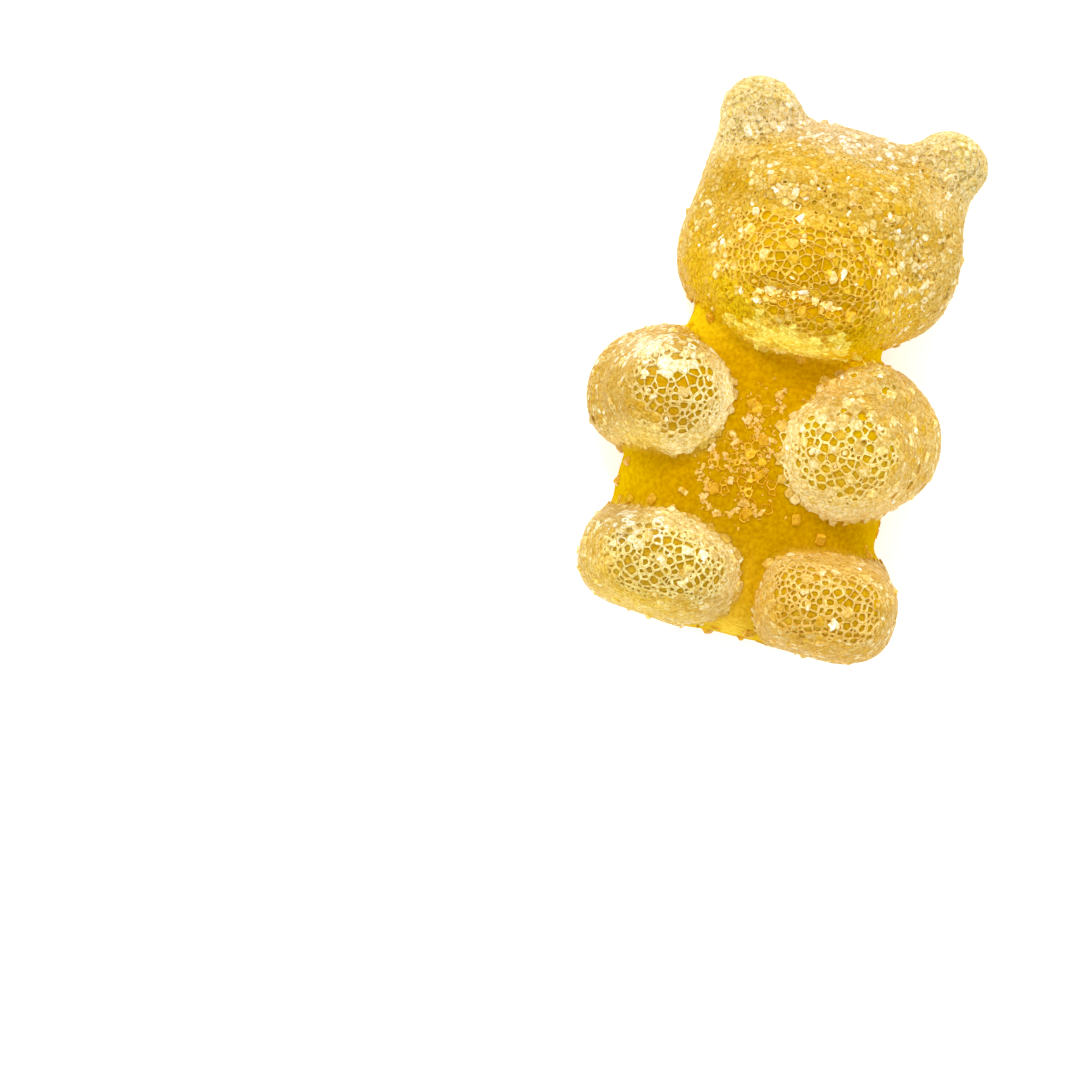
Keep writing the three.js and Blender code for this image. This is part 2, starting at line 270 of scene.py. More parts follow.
def make_piece(name, points, faces, smooth, material, colours):
    """A mesh from arrays: points in millimetres, arrays of faces, each with as many columns as its
    faces have corners, whether each array is smooth, and for each point its red, green, blue and
    painted glow."""
    sides = np.concatenate([np.full(len(f), f.shape[1]) for f in faces])
    rounded = np.concatenate([np.full(len(f), s) for f, s in zip(faces, smooth)])
    corners = np.concatenate([f.ravel() for f in faces])
    shades = np.c_[colours[:, :3], np.ones(len(points))]
    mesh = bpy.data.meshes.new(name)
    mesh.vertices.add(len(points))
    mesh.vertices.foreach_set("co", (points * MM).astype(np.float32).ravel())
    mesh.loops.add(len(corners))
    mesh.loops.foreach_set("vertex_index", corners.astype(np.int32))
    mesh.polygons.add(len(sides))
    mesh.polygons.foreach_set("loop_start", (np.cumsum(sides) - sides).astype(np.int32))
    mesh.polygons.foreach_set("use_smooth", rounded)
    mesh.update(calc_edges=True)
    layer = mesh.color_attributes.new("tint", "FLOAT_COLOR", "POINT")
    layer.data.foreach_set("color", shades.astype(np.float32).ravel())
    layer = mesh.attributes.new("glow", "FLOAT", "POINT")
    layer.data.foreach_set("value", colours[:, 3].astype(np.float32))
    mesh.materials.append(material)
    piece = new_object(name, mesh)
    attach(piece, "root")
    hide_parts("gummy_bear")


# ---- Colours --------------------------------------------------------------------------------

def tint(red, green, blue):
    """A colour given as it looks on a screen, 0 to 255, as linear light."""
    c = np.array((red, green, blue)) / 255
    return np.where(c <= 0.04045, c / 12.92, ((c + 0.055) / 1.055) ** 2.4)


# Each part of the bear: the colour of its jelly, of the rims of its grains and of its clouded
# grains, the share of grains that are clouded, how far the windows of the others have closed,
# how far the grains have melted into the jelly, how wide their rims are, and the usual distance
# from one grain to the next.
PARTS = {
    "muzzle": (
        tint(212, 163, 0), tint(250, 214, 100), tint(232, 192, 62),
        0.14, 0.0, 0.0, 0.024, 0.33,
    ),
    "head": (
        tint(207, 159, 8), tint(220, 184, 90), tint(214, 177, 78),
        0.75, 0.3, 0.0, 0.03, 0.24,
    ),
    "ears": (
        tint(234, 206, 116), tint(230, 207, 136), tint(224, 199, 130),
        0.4, 0.0, 0.0, 0.03, 0.29,
    ),
    "left_arm": (
        tint(208, 158, 0), tint(250, 236, 162), tint(206, 165, 72),
        0.04, 0.05, 0.0, 0.03, 0.33,
    ),
    "right_arm": (
        tint(218, 171, 4), tint(250, 232, 150), tint(227, 188, 96),
        0.04, 0.05, 0.0, 0.032, 0.33,
    ),
    "left_foot": (
        tint(202, 156, 18), tint(245, 229, 148), tint(219, 182, 88),
        0.05, 0.08, 0.0, 0.036, 0.3,
    ),
    "right_foot": (
        tint(214, 164, 8), tint(242, 208, 118), tint(216, 173, 72),
        0.08, 0.1, 0.0, 0.03, 0.3,
    ),
    "trunk": (
        tint(199, 152, 0), tint(222, 178, 36), tint(218, 170, 26),
        0.15, 0.0, 0.97, 0.016, 0.31,
    ),
}
JELLY, RIM, CLOUDED, CLOUDED_SHARE, CLOSED, MELT, RIM_WIDTH, SPACING = range(8)
PART_NAMES = list(PARTS)

# Groups of parts.
GROUPS = {
    "muzzle": ["muzzle"],
    "head": ["head", "ears"],
    "face": ["muzzle", "head", "ears"],
    "arms": ["left_arm", "right_arm"],
    "feet": ["left_foot", "right_foot"],
    "limbs": ["left_arm", "right_arm", "left_foot", "right_foot"],
    "trunk": ["trunk"],
    "neck": ["muzzle", "head", "ears", "trunk"],
}

# How far the coat of each limb spreads over its crease.
LIMB_LEAD = {"left_arm": 0.02, "right_arm": 0.1, "left_foot": 0.14, "right_foot": 0.04}

# The pale edge of each paw and foot: the side it runs along, as seen from above, and how pale.
PALE_EDGES = {
    "left_arm": ((0.85, -0.5), 1.0),
    "right_arm": ((-0.75, -0.65), 0.68),
    "left_foot": ((0.7, 0.7), 0.45),
    "right_foot": ((-0.9, 0.1), 0.2),
}
PALE_EDGE = tint(254, 244, 184)

# Where loose sugar has fused on: the middle and the reach of each place as seen from above, the
# group it lies on, the share of its grains that are changed, the share of those that are clouded,
# and their colour.
PATCHES = (
    ((-0.4, -4.0), (1.3, 1.9), "trunk", 0.85, 0.05, tint(232, 188, 60)),
    ((-4.7, -0.7), (1.4, 0.8), "arms", 0.7, 0.6, tint(252, 244, 206)),
    ((2.6, -1.2), (1.3, 0.6), "arms", 0.9, 0.85, tint(246, 226, 164)),
    ((-3.9, -7.7), (1.6, 0.7), "feet", 0.4, 0.4, tint(250, 244, 206)),
    ((3.6, 0.1), (2.4, 1.5), "arms", 1.4, 0.97, tint(207, 169, 80)),
    ((-1.6, 7.0), (1.2, 0.5), "face", 0.5, 0.8, tint(244, 218, 136)),
    ((2.7, 6.5), (0.8, 0.8), "face", 0.5, 0.8, tint(244, 218, 136)),
    ((4.4, 4.6), (1.0, 1.6), "face", 0.3, 0.8, tint(250, 236, 180)),
    ((-3.7, 4.3), (0.9, 1.2), "face", 0.15, 0.8, tint(246, 228, 160)),
    # The chin's band: pale yellow sugar, brightened with painted light as if light passed through
    # the thin jelly.
    ((0.0, 1.25), (3.0, 0.45), "face", 0.9, 0.9, tint(252, 242, 118)),
    ((0.6, 9.2), (2.4, 0.5), "face", 0.3, 0.8, tint(246, 230, 196)),
)

# Where the jelly shows through the sugar, and painted light and shade: lighter where light would
# pass through thin jelly, lighter where a shadow is lifted, darker on shaded sides. Each has its
# middle, reach, the group it lies on, how much of the tint it takes, its colour, and how much of it
# shines out as painted glow.
JELLY_TINTS_AND_PAINTED_LIGHT = (
    # The chin's band: painted light, as if light passed through the thin jelly.
    ((0.0, 1.1), (3.2, 0.5), "face", 0.8, tint(252, 232, 86), 0.28),
    ((0.3, 2.2), (1.8, 0.5), "face", 0.6, tint(206, 156, 0), 0.03),
    ((-3.5, 1.7), (1.9, 1.5), "neck", 1.8, tint(221, 182, 10), 0.1),
    ((3.4, 1.5), (1.7, 1.3), "neck", 1.8, tint(221, 179, 0), 0.1),
    # Painted light that lifts the shadow under the chin.
    ((0.9, 0.2), (1.9, 0.6), "trunk", 0.0, tint(210, 160, 0), 0.1),
    # Painted glow low between the feet.
    ((0.6, -8.9), (0.5, 1.3), "trunk", 0.6, tint(236, 192, 34), 0.22),
    ((-4.1, -2.7), (1.3, 0.9), "arms", 0.65, tint(214, 163, 24), 0.0),
    ((3.3, -3.5), (1.5, 1.0), "arms", 0.5, tint(224, 178, 44), 0.0),
    ((-2.6, -9.0), (1.9, 0.8), "feet", 0.25, tint(212, 172, 60), 0.0),
    ((-4.7, -7.3), (1.0, 0.7), "feet", 0.9, tint(187, 152, 72), 0.0),
    ((2.3, -9.2), (0.9, 0.9), "feet", 0.35, tint(216, 166, 20), 0.0),
    ((-4.4, 3.2), (0.9, 1.4), "face", 1.0, tint(216, 171, 8), 0.03),
    ((4.2, 3.2), (0.9, 1.3), "face", 0.8, tint(228, 184, 28), 0.06),
    ((-3.6, 5.0), (0.8, 1.0), "face", 0.75, tint(209, 163, 26), 0.0),
    ((0.3, 5.2), (2.0, 0.7), "face", 0.35, tint(212, 165, 24), 0.0),
    ((0.9, 3.6), (2.3, 1.4), "face", 0.5, tint(222, 170, 0), 0.0),
    ((-4.8, -4.2), (1.2, 0.7), "arms", 0.9, tint(238, 206, 84), 0.08),
    # Painted shade on the shaded outer side of the left paw.
    ((-6.3, -2.3), (0.9, 1.1), "arms", 0.9, tint(200, 158, 50), 0.0),
    ((-5.2, -0.6), (0.8, 0.5), "arms", 0.3, tint(250, 240, 206), 0.02),
    ((5.3, -4.1), (0.9, 0.8), "arms", 0.6, tint(240, 206, 112), 0.07),
    ((-2.3, -3.6), (0.8, 0.6), "arms", 0.6, tint(236, 208, 96), 0.0),
    ((3.6, -6.8), (2.0, 0.6), "feet", 0.6, tint(224, 182, 88), 0.0),
    ((3.6, -9.8), (2.0, 0.7), "feet", 0.6, tint(222, 172, 48), 0.0),
    ((-4.8, -9.6), (1.0, 0.8), "feet", 0.7, tint(224, 184, 56), 0.0),
    ((-3.2, -10.5), (2.4, 0.6), "feet", 0.7, tint(236, 200, 64), 0.07),
    ((5.1, 5.4), (0.6, 1.4), "face", 0.3, tint(242, 216, 140), 0.04),
    ((4.4, 8.0), (0.8, 0.7), "face", 0.6, tint(238, 210, 140), 0.02),
    ((-4.0, 7.9), (0.8, 0.5), "face", 0.4, tint(236, 208, 130), 0.0),
    ((-3.6, 6.7), (0.9, 0.7), "face", 1.0, tint(198, 151, 0), 0.0),
    ((2.9, 7.2), (0.7, 0.5), "face", 0.6, tint(220, 172, 16), 0.0),
    ((0.2, 8.1), (2.6, 0.5), "face", 0.5, tint(219, 171, 24), 0.0),
    ((0.3, 6.8), (2.8, 0.8), "face", 0.45, tint(213, 168, 40), 0.0),
    ((-0.3, 9.6), (3.2, 0.7), "face", 0.7, tint(218, 190, 142), 0.0),
    ((-4.6, -5.6), (0.8, 1.0), "trunk", 0.7, tint(206, 164, 0), 0.0),
    ((0.6, -10.4), (0.8, 0.8), "trunk", 0.6, tint(232, 190, 66), 0.08),
)

PART_BLEND = 0.1           # over what distance the parts' colours run into one another
PART_DEPTH = 0.3           # how deep in its own lump a place belongs to it entirely
FRONT_FROM, FRONT_SPAN = 0.8, 1.4      # the heights over which places on the front set in
CREVICE_REACH = 1.2        # how near the jelly has to be to itself for a crease to get painted glow
# How much painted glow lifts the shade in a crease.
PAINTED_CREASE_GLOW = 0.11
TRUNK_HOLDS = 0.7          # how much less of that painted glow the clear trunk gets
# The upward slopes (1 faces up) over which sugar hides the jelly, how much it hides at most, and
# how much less on the limbs.
HIDING_FROM, HIDING_SPAN = 0.7, -0.5
HIDING = 0.8
LIMBS_HIDE_LESS = 0.25


def part_weights(points):
    """How much each point belongs to each part: a share that falls off with the distance to
    the part's own lump. The shares of a point add up to 1."""
    p = tuple(points.T)
    q = (p[0], p[1], np.maximum(p[2], WALL_HEIGHT))
    distance = {
        "muzzle": lump(q, MUZZLE),
        "head": np.minimum(np.minimum(lump(q, SKULL), lump(q, JOWL)), lump(q, FOREHEAD)),
        "ears": np.minimum(limb(q, LEFT_EAR), limb(q, RIGHT_EAR)),
        "left_arm": limb(q, LEFT_PAW) - LIMB_LEAD["left_arm"],
        "right_arm": limb(q, RIGHT_PAW) - LIMB_LEAD["right_arm"],
        "left_foot": lump(q, LEFT_FOOT) - LIMB_LEAD["left_foot"],
        "right_foot": lump(q, RIGHT_FOOT) - LIMB_LEAD["right_foot"],
        "trunk": np.minimum(np.minimum(lump(q, TORSO), lump(q, BELLY)), lump(q, NECK)),
    }
    outside = np.stack([distance[name] for name in PARTS], axis=1)
    nearness = np.exp(-np.maximum(outside, -PART_DEPTH) / PART_BLEND)
    return nearness / nearness.sum(1, keepdims=True)


def blend_parts(weights, which):
    """The mean of one of the parts' values, by those shares."""
    return weights @ np.array([PARTS[name][which] for name in PARTS])


def in_group(group):
    """Where the parts of a group stand among all of them."""
    return [PART_NAMES.index(name) for name in GROUPS[group]]


def share_of(weights, group):
    """How much each point belongs to a group of parts."""
    return weights[:, in_group(group)].sum(1)


def as_seen(points):
    """Where points appear on the level FOCUS_HEIGHT, seen from the camera."""
    far = CAMERA_DISTANCE + FOCUS_HEIGHT - points[:, 2:]
    middle = np.array(VIEW_MIDDLE)
    return middle + (points[:, :2] - middle) * CAMERA_DISTANCE / far


def patch_share(points, weights, middle, reach, group):
    """1 in the middle of a place seen from above, falling off to 0 beyond its reach and beyond
    the parts that it lies on."""
    away = ((as_seen(points) - middle) / reach) ** 2
    front = rising(points[:, 2], FRONT_FROM, FRONT_SPAN)
    return np.exp(-away.sum(1)) * front * share_of(weights, group)


def with_tints_and_painted_light(points, weights, colours):
    """Colours with the jelly's tints and the painted light and shade of that table."""
    for middle, reach, group, amount, colour, _ in JELLY_TINTS_AND_PAINTED_LIGHT:
        share = np.minimum(amount * patch_share(points, weights, middle, reach, group), 1)[:, None]
        colours = colours * (1 - share) + colour * share
    return colours


def under_sugar(points, normals):
    """The colour of the jelly: clear where it faces up, clouded by the sugar on steep sides."""
    weights = part_weights(points)
    share = HIDING - LIMBS_HIDE_LESS * share_of(weights, "limbs")
    share *= rising(normals[:, 2], HIDING_FROM, HIDING_SPAN) * (1 - share_of(weights, "trunk"))
    clear, sugared = blend_parts(weights, JELLY), blend_parts(weights, CLOUDED)
    return with_tints_and_painted_light(points, weights, clear + (sugared - clear) * share[:, None])


def painted_glow_at(points, normals):
    """Painted light: a glow (emission) that lifts the shade in the jelly's creases, where its own
    surface is near, and that lightens the places of the table of painted light."""
    weights = part_weights(points)
    room = skin(tuple((points + CREVICE_REACH * normals).T)) / CREVICE_REACH
    light = PAINTED_CREASE_GLOW * (1 - np.clip(room, 0, 1))
    light *= 1 - TRUNK_HOLDS * share_of(weights, "trunk")
    for middle, reach, group, _, _, shining in JELLY_TINTS_AND_PAINTED_LIGHT:
        light += shining * patch_share(points, weights, middle, reach, group)
    return light[:, None]


# ---- Materials ------------------------------------------------------------------------------

NOISE_LOW, NOISE_HIGH = 0.36, 0.64      # nearly all of a noise's values lie between these


def new_material(name):
    """A material with a plain surface shader. What it gives off isn't sampled as a lamp."""
    material = bpy.data.materials.new(name)
    material.use_nodes = True
    material.cycles.emission_sampling = "NONE"
    return material, material.node_tree.nodes["Principled BSDF"]


def set_inputs(node, values):
    """Gives inputs of a shader node their values, by name or by number."""
    for name, value in values.items():
        node.inputs[name].default_value = value


def tinted_by_noise(material, shader, scale, low, high, depth):
    """The piece's own tint, taken by a noise from low times it to high times it, as the base
    colour, and as the colour of its painted glow: emission that lifts shade in its creases and
    hollows and lightens chosen places. The same noise roughens the surface, to a depth in
    millimetres."""
    nodes, links = material.node_tree.nodes, material.node_tree.links
    place, noise = nodes.new("ShaderNodeTexCoord"), nodes.new("ShaderNodeTexNoise")
    span, bump = nodes.new("ShaderNodeMapRange"), nodes.new("ShaderNodeBump")
    colour, glow = nodes.new("ShaderNodeAttribute"), nodes.new("ShaderNodeAttribute")
    factor, product = nodes.new("ShaderNodeVectorMath"), nodes.new("ShaderNodeVectorMath")
    colour.attribute_name, glow.attribute_name = "tint", "glow"
    factor.operation, product.operation = "MULTIPLY_ADD", "MULTIPLY"
    set_inputs(noise, {"Scale": scale, "Detail": 3})
    set_inputs(span, {"From Min": NOISE_LOW, "From Max": NOISE_HIGH})
    set_inputs(factor, {1: np.subtract(high, low), 2: low})
    set_inputs(bump, {"Strength": 0.8, "Distance": depth * MM})
    for output, entry in (
        (place.outputs["Object"], noise.inputs["Vector"]),
        (noise.outputs["Fac"], span.inputs["Value"]),
        (span.outputs["Result"], factor.inputs[0]),
        (colour.outputs["Color"], product.inputs[0]),
        (factor.outputs["Vector"], product.inputs[1]),
        (product.outputs["Vector"], shader.inputs["Base Color"]),
        (product.outputs["Vector"], shader.inputs["Emission Color"]),
        (glow.outputs["Fac"], shader.inputs["Emission Strength"]),
        (noise.outputs["Fac"], bump.inputs["Height"]),
        (bump.outputs["Normal"], shader.inputs["Normal"]),
    ):
        links.new(output, entry)


def jelly_material():
    """Amber fruit jelly: light goes well into it, and its surface is a little uneven."""
    material, shader = new_material("amber jelly")
    low, high = (0.88, 0.82, 0.5), (1.1, 1.14, 1.6)
    tinted_by_noise(material, shader, scale=6000, low=low, high=high, depth=0.04)
    set_inputs(shader, {
        "Subsurface Weight": 0.8, "Subsurface Radius": (1.0, 0.9, 0.3),
        "Subsurface Scale": 0.5 * MM, "Roughness": 0.3, "Specular IOR Level": 0,
    })
    return material


def sugar_material(name, roughness, shine):
    """Sugar: the tint of each grain, slightly clouded, with a shine on its facets."""
    material, shader = new_material(name)
    low, high = (0.82, 0.7, 0.36), (1.08, 1.17, 1.55)
    tinted_by_noise(material, shader, scale=8000, low=low, high=high, depth=0.03)
    set_inputs(shader, {"Roughness": roughness, "Specular IOR Level": shine})
    return material


# ---- The core -------------------------------------------------------------------------------

COAT_DEPTH = 0.055  # how far the jelly lies under the outside of the coat
CORE_PITCH = 0.2

core_points, core_faces = surface_net(skin, -COAT_DEPTH, CORE_PITCH)
core_points = onto(skin, core_points, -COAT_DEPTH)
core_normals = unit(slope_at(skin, core_points))
core_colours = under_sugar(core_points, core_normals)
core_colours = np.c_[core_colours, painted_glow_at(core_points, core_normals)]
make_piece("jelly_core", core_points, [core_faces], [True], jelly_material(), core_colours)


# ---- Where the grains lie -------------------------------------------------------------------

NEIGHBOURS = 12          # how many of its nearest others shape a grain's cell
PUSHED_BY = 8            # and how many push it
PUSH = 0.35              # the share of the missing room that a pass makes
SPREAD_PASSES = 4
SIZE_SPREAD = 0.6        # how much larger or smaller than usual a grain may be
STEEP_SPACING = 0.25
LEVEL_FROM, LEVEL_SPAN = 0.35, 0.4     # the upward slopes over which each part's spacing sets in
CLOSE_PACKED = 0.87      # the area of a grain's cell, as a share of its spacing squared
SEARCH_BOX = 0.6         # the size of the boxes in which a grain's nearest others are looked for


def spacing_at(points):
    """How far apart the grains lie: each part's own spacing where the jelly faces up, and finer
    on its steep sides."""
    level = rising(unit(slope_at(skin, points))[:, 2], LEVEL_FROM, LEVEL_SPAN)
    return STEEP_SPACING + (blend_parts(part_weights(points), SPACING) - STEEP_SPACING) * level


def on_faces(points, faces, spacing):
    """Random places on a mesh of four-sided faces, as many as the spacing at each face asks."""
    corners = points[faces]
    first = np.cross(corners[:, 1] - corners[:, 0], corners[:, 2] - corners[:, 0])
    second = np.cross(corners[:, 2] - corners[:, 0], corners[:, 3] - corners[:, 0])
    area = (np.linalg.norm(first, axis=1) + np.linalg.norm(second, axis=1)) / 2
    wanted = np.cumsum(area / (CLOSE_PACKED * spacing[faces].mean(1) ** 2))
    count = int(wanted[-1])
    chosen = corners[np.searchsorted(wanted, np.arange(count) + rng.random(count))]
    u, v = rng.random((2, count, 1))
    low = chosen[:, 0] * (1 - u) + chosen[:, 1] * u
    high = chosen[:, 3] * (1 - u) + chosen[:, 2] * u
    return low * (1 - v) + high * v


def nearest(points, count):
    """The indices of each point's nearest others, looked for in the boxes round its own."""
    box = np.floor((points - GRID_LOW) / SEARCH_BOX).astype(int) + 1
    shape = box.max(0) + 2
    number = np.ravel_multi_index(tuple(box.T), shape)
    by_box = np.argsort(number, kind="stable")
    place = np.arange(len(points)) - np.searchsorted(number[by_box], number[by_box])
    table = np.full((shape.prod(), place.max() + 1), -1)
    table[number[by_box], place] = by_box
    steps = np.stack(np.meshgrid(*[(-1, 0, 1)] * 3, indexing="ij"), axis=-1).reshape(-1, 3)
    around = number[:, None] + steps @ np.array((shape[1] * shape[2], shape[2], 1))
    others = table[around].reshape(len(points), -1)
    gap = np.zeros(others.shape)
    for axis in range(3):
        gap += (points[others, axis] - points[:, axis, None]) ** 2
    gap[(others < 0) | (others == np.arange(len(points))[:, None])] = np.inf
    return np.take_along_axis(others, np.argpartition(gap, count, axis=1)[:, :count], 1)


def spread_out(points, sizes, passes):
    """Grains that push each other apart until each has about its own room, on the skin."""
    for _ in range(passes):
        near = nearest(points, PUSHED_BY)
        away = points[:, None] - points[near]
        gap = np.linalg.norm(away, axis=2)
        wanted = (sizes[:, None] + sizes[near]) / 2
        push = np.maximum(wanted - gap, 0) / np.maximum(gap, 1e-4)
        points = onto(skin, points + PUSH * (away * push[..., None]).sum(1), passes=1)
    return points


seeds = onto(skin, on_faces(core_points, core_faces, spacing_at(core_points)))
grain_count = len(seeds)
room = spacing_at(seeds) * rng.uniform(1 - SIZE_SPREAD, 1 + SIZE_SPREAD, grain_count)
seeds = onto(skin, spread_out(seeds, room, SPREAD_PASSES))
normals = unit(slope_at(skin, seeds))


# ---- The coat's cells -----------------------------------------------------------------------

LEAST_TURN = 0.05        # the sine of the least angle at which two lines make a corner
FARTHEST_CORNER = 0.5
NEARLY_UP = 0.8          # a normal that rises by more than this is measured across X, not Z


def cell_corners(points, normals, sizes):
    """The corners of each grain's cell in its own plane: where the lines half way to two of its
    neighbours meet, if no third line cuts that place off. Larger grains push the lines away."""
    near = nearest(points, NEIGHBOURS)
    helper = np.where(np.abs(normals[:, 2:3]) < NEARLY_UP, [[0, 0, 1.0]], [[1.0, 0, 0]])
    along = unit(np.cross(helper, normals))
    across = np.cross(normals, along)
    offset = points[near] - points[:, None]
    flat = np.stack([(offset * along[:, None]).sum(2), (offset * across[:, None]).sum(2)], axis=2)
    reach = np.linalg.norm(offset, axis=2)
    direction = unit(flat)
    weight = (sizes / 2) ** 2
    line = reach / 2 + (weight[:, None] - weight[near]) / (2 * reach)
    first, second = np.triu_indices(NEIGHBOURS, 1)
    a, b = direction[:, first], direction[:, second]
    s, t = line[:, first], line[:, second]
    cross = a[..., 0] * b[..., 1] - a[..., 1] * b[..., 0]
    safe = np.where(np.abs(cross) > LEAST_TURN, cross, np.inf)
    x = (s * b[..., 1] - t * a[..., 1]) / safe
    y = (a[..., 0] * t - b[..., 0] * s) / safe
    beyond = x[..., None] * direction[:, None, :, 0] + y[..., None] * direction[:, None, :, 1]
    beyond -= line[:, None, :]
    near_enough = np.hypot(x, y) < FARTHEST_CORNER
    kept = (beyond.max(2) < 1e-6) & (np.abs(cross) > LEAST_TURN) & near_enough
    return x, y, kept, along, across


corner_x, corner_y, kept, along, across = cell_corners(seeds, normals, room)
corner_count = kept.sum(1)
order = np.argsort(np.where(kept, np.arctan2(corner_y, corner_x), np.inf), axis=1)

# How open a grain is. It clouds over, or its window closes, where the jelly turns steep: below
# this upward slope, which is lower on the muzzle and on the feet, and over this span.
STEEP_FROM = 0.78
MUZZLE_STEEP_LESS = 0.18
FEET_STEEP_LESS = 0.14
STEEP_SPAN = 0.35
LIMBS_SPAN_LESS = 0.1
STEEP_CLOUDED = 0.9      # the share of the grains there that are clouded
STEEP_CLOSED = 0.8       # and how far the others close
CLOSED_SPREAD = 0.14
CLOSED_MOST = 0.72
BRIDGE_FROM, BRIDGE_SPAN = 5.2, 0.8    # where, along Y, the muzzle runs into the forehead
BRIDGE_CLOUDED = 0.7
CREASE = (0.03, 0.9)     # all grains are clouded where the trunk's share is between these

# The shape of a grain.
RIM_SLOPE = 0.014        # how much wider a rim is at its foot
RIM_ROUNDING = 0.12      # how far the corners of a window are rounded off
RIM_SPREAD = (0.6, 1.8)
LEAST_WINDOW = 0.25      # a ring keeps at least this share of its cell's size
BEVEL_INSET, LID_INSET = 0.3, 0.62     # the foot and the top of a lid's bevel, in from the edge
EDGE_HEIGHT = 0.018      # where two grains meet, above the coat's own outside
RIM_HEIGHT = 0.022
HEIGHT_SPREAD = 0.02
BEVEL_DROP = 0.016       # how much lower the inside of a closed rim is than the top of it
RIM_DROP = 0.01          # and that of an open one
COAT_FOOT = -COAT_DEPTH - 0.02
GRAIN_LEAN = 0.2         # how steeply a grain's top may lean
LEANING_TWICE = 0.2      # the share of the grains that lean twice as much
LIMB_CALM = 0.45         # how much less they lean and differ in height on paws and feet
# How much of its lean and height a grain keeps: so much on a wall, growing with the upward slope.
WALL_KEEPS, SLOPE_KEEPS, LEAST_KEPT = 0.4, 0.9, 0.35
# Melted grains: how fast they melt with their part's share and how late, the share that is gone
# at most, and how deep the others sink.
MELT_GAIN, MELT_START, MELT_MOST = 8, 1.5, 0.985
MELT_SINK = 0.05

# The colours of a grain.
BRIGHTNESS = (0.9, 1.07)
CLUMP_WAVES = ((6.1, 2.9), (-3.3, 5.3))     # the clumps come and go along X and Y
CLEARNESS, CLUMP_CLEARNESS, CLEARNESS_SPREAD = 0.35, 0.15, 0.5
FROST = (0.1, 0.7)
FROSTED = 0.3            # the share of the grains that are frosted
LIMB_FROST = 0.3         # how much more they are on paws and feet
LEDGE_START, LEDGE_GAIN = 0.3, 1.3     # how the pale edge sets in towards its side
LEDGE_SLOPE, LEDGE_SPAN = 0.4, 0.34    # the upward slope that it lies on, and its reach
LEDGE_PALES = 0.9        # how pale it gets
# Painted glow that lifts the shade of the pale edge, which lies in the crease by the trunk.
LEDGE_GLOW = 0.2
EDGE_CLOUDING = 1.2      # how fast edges take the colour of clouded grains as windows close
GAP_DEPTH = 0.75         # how much of the jelly's colour lies between clear grains
OUTER_SHARE = 0.3        # the share of the outer ring's colour on the ring half way in
WEB_GLOW = 0.2           # painted glow that lifts the shade of the few rims on the trunk
FOOT_GLOW = 0.5          # how much more of that painted glow there is at their feet
WEB_FALL = 4             # how fast it falls off towards the limbs

# Sugared places: how their clumps show, how much of their colour a grain takes, how much higher
# it stands, and how fast those of the trunk fall off towards the limbs.
PATCH_CLUMPS = 0.6
PATCH_TINT = (0.5, 1)
PATCH_RISE = 0.02
TRUNK_PATCH_FALL = 12

upward = normals[:, 2]
weights = part_weights(seeds)
on_muzzle, on_feet = share_of(weights, "muzzle"), share_of(weights, "feet")
on_limbs, on_trunk = share_of(weights, "limbs"), share_of(weights, "trunk")

turning = STEEP_FROM - MUZZLE_STEEP_LESS * on_muzzle - FEET_STEEP_LESS * on_feet
steepness = rising(upward, turning, LIMBS_SPAN_LESS * on_limbs - STEEP_SPAN)
bridge = BRIDGE_CLOUDED * on_muzzle * rising(seeds[:, 1], BRIDGE_FROM, BRIDGE_SPAN)
clouded_share = blend_parts(weights, CLOUDED_SHARE) + bridge
clouded_share += (STEEP_CLOUDED - clouded_share) * steepness
clouded = rng.random(grain_count) < clouded_share
clouded |= (on_trunk > CREASE[0]) & (on_trunk < CREASE[1])
closing = blend_parts(weights, CLOSED) + STEEP_CLOSED * steepness + bridge
closing = np.clip(closing + rng.normal(0, CLOSED_SPREAD, grain_count), 0, CLOSED_MOST)

keeps = np.clip(WALL_KEEPS + SLOPE_KEEPS * upward, LEAST_KEPT, 1)
calm = 1 - LIMB_CALM * on_limbs
lean = rng.uniform(-GRAIN_LEAN, GRAIN_LEAN, (grain_count, 2))
lean *= (calm * np.where(clouded, 1, closing))[:, None]
lean[rng.random(grain_count) < LEANING_TWICE] *= 2
lean *= keeps[:, None]
spread = rng.uniform(-HEIGHT_SPREAD, HEIGHT_SPREAD, grain_count) * keeps * calm
melt = np.clip(MELT_GAIN * blend_parts(weights, MELT) - MELT_START, 0, MELT_MOST)
rise = RIM_HEIGHT + spread - MELT_SINK * melt
there = rng.random(grain_count) > melt

brightness = rng.uniform(*BRIGHTNESS, (grain_count, 1))
clumps = sum(np.sin(a * seeds[:, 0] + b * seeds[:, 1]) for a, b in CLUMP_WAVES)
clearness = CLEARNESS + CLUMP_CLEARNESS * clumps[:, None]
clearness = np.clip(clearness + rng.normal(0, CLEARNESS_SPREAD, (grain_count, 1)), 0, 1)
frosted = rng.uniform(*FROST, (grain_count, 1)) * (rng.random((grain_count, 1)) < FROSTED)
frosted *= 1 + LIMB_FROST * on_limbs[:, None]
ledge = np.zeros(grain_count)
for name, (side, paleness) in PALE_EDGES.items():
    inner = np.clip(LEDGE_START + LEDGE_GAIN * normals[:, :2] @ np.array(side), 0, 1)
    ledge += paleness * inner * weights[:, PART_NAMES.index(name)]
ledge = np.minimum(ledge * np.exp(-(((upward - LEDGE_SLOPE) / LEDGE_SPAN) ** 2)), 1)[:, None]
rim_width = blend_parts(weights, RIM_WIDTH) * rng.uniform(*RIM_SPREAD, grain_count)

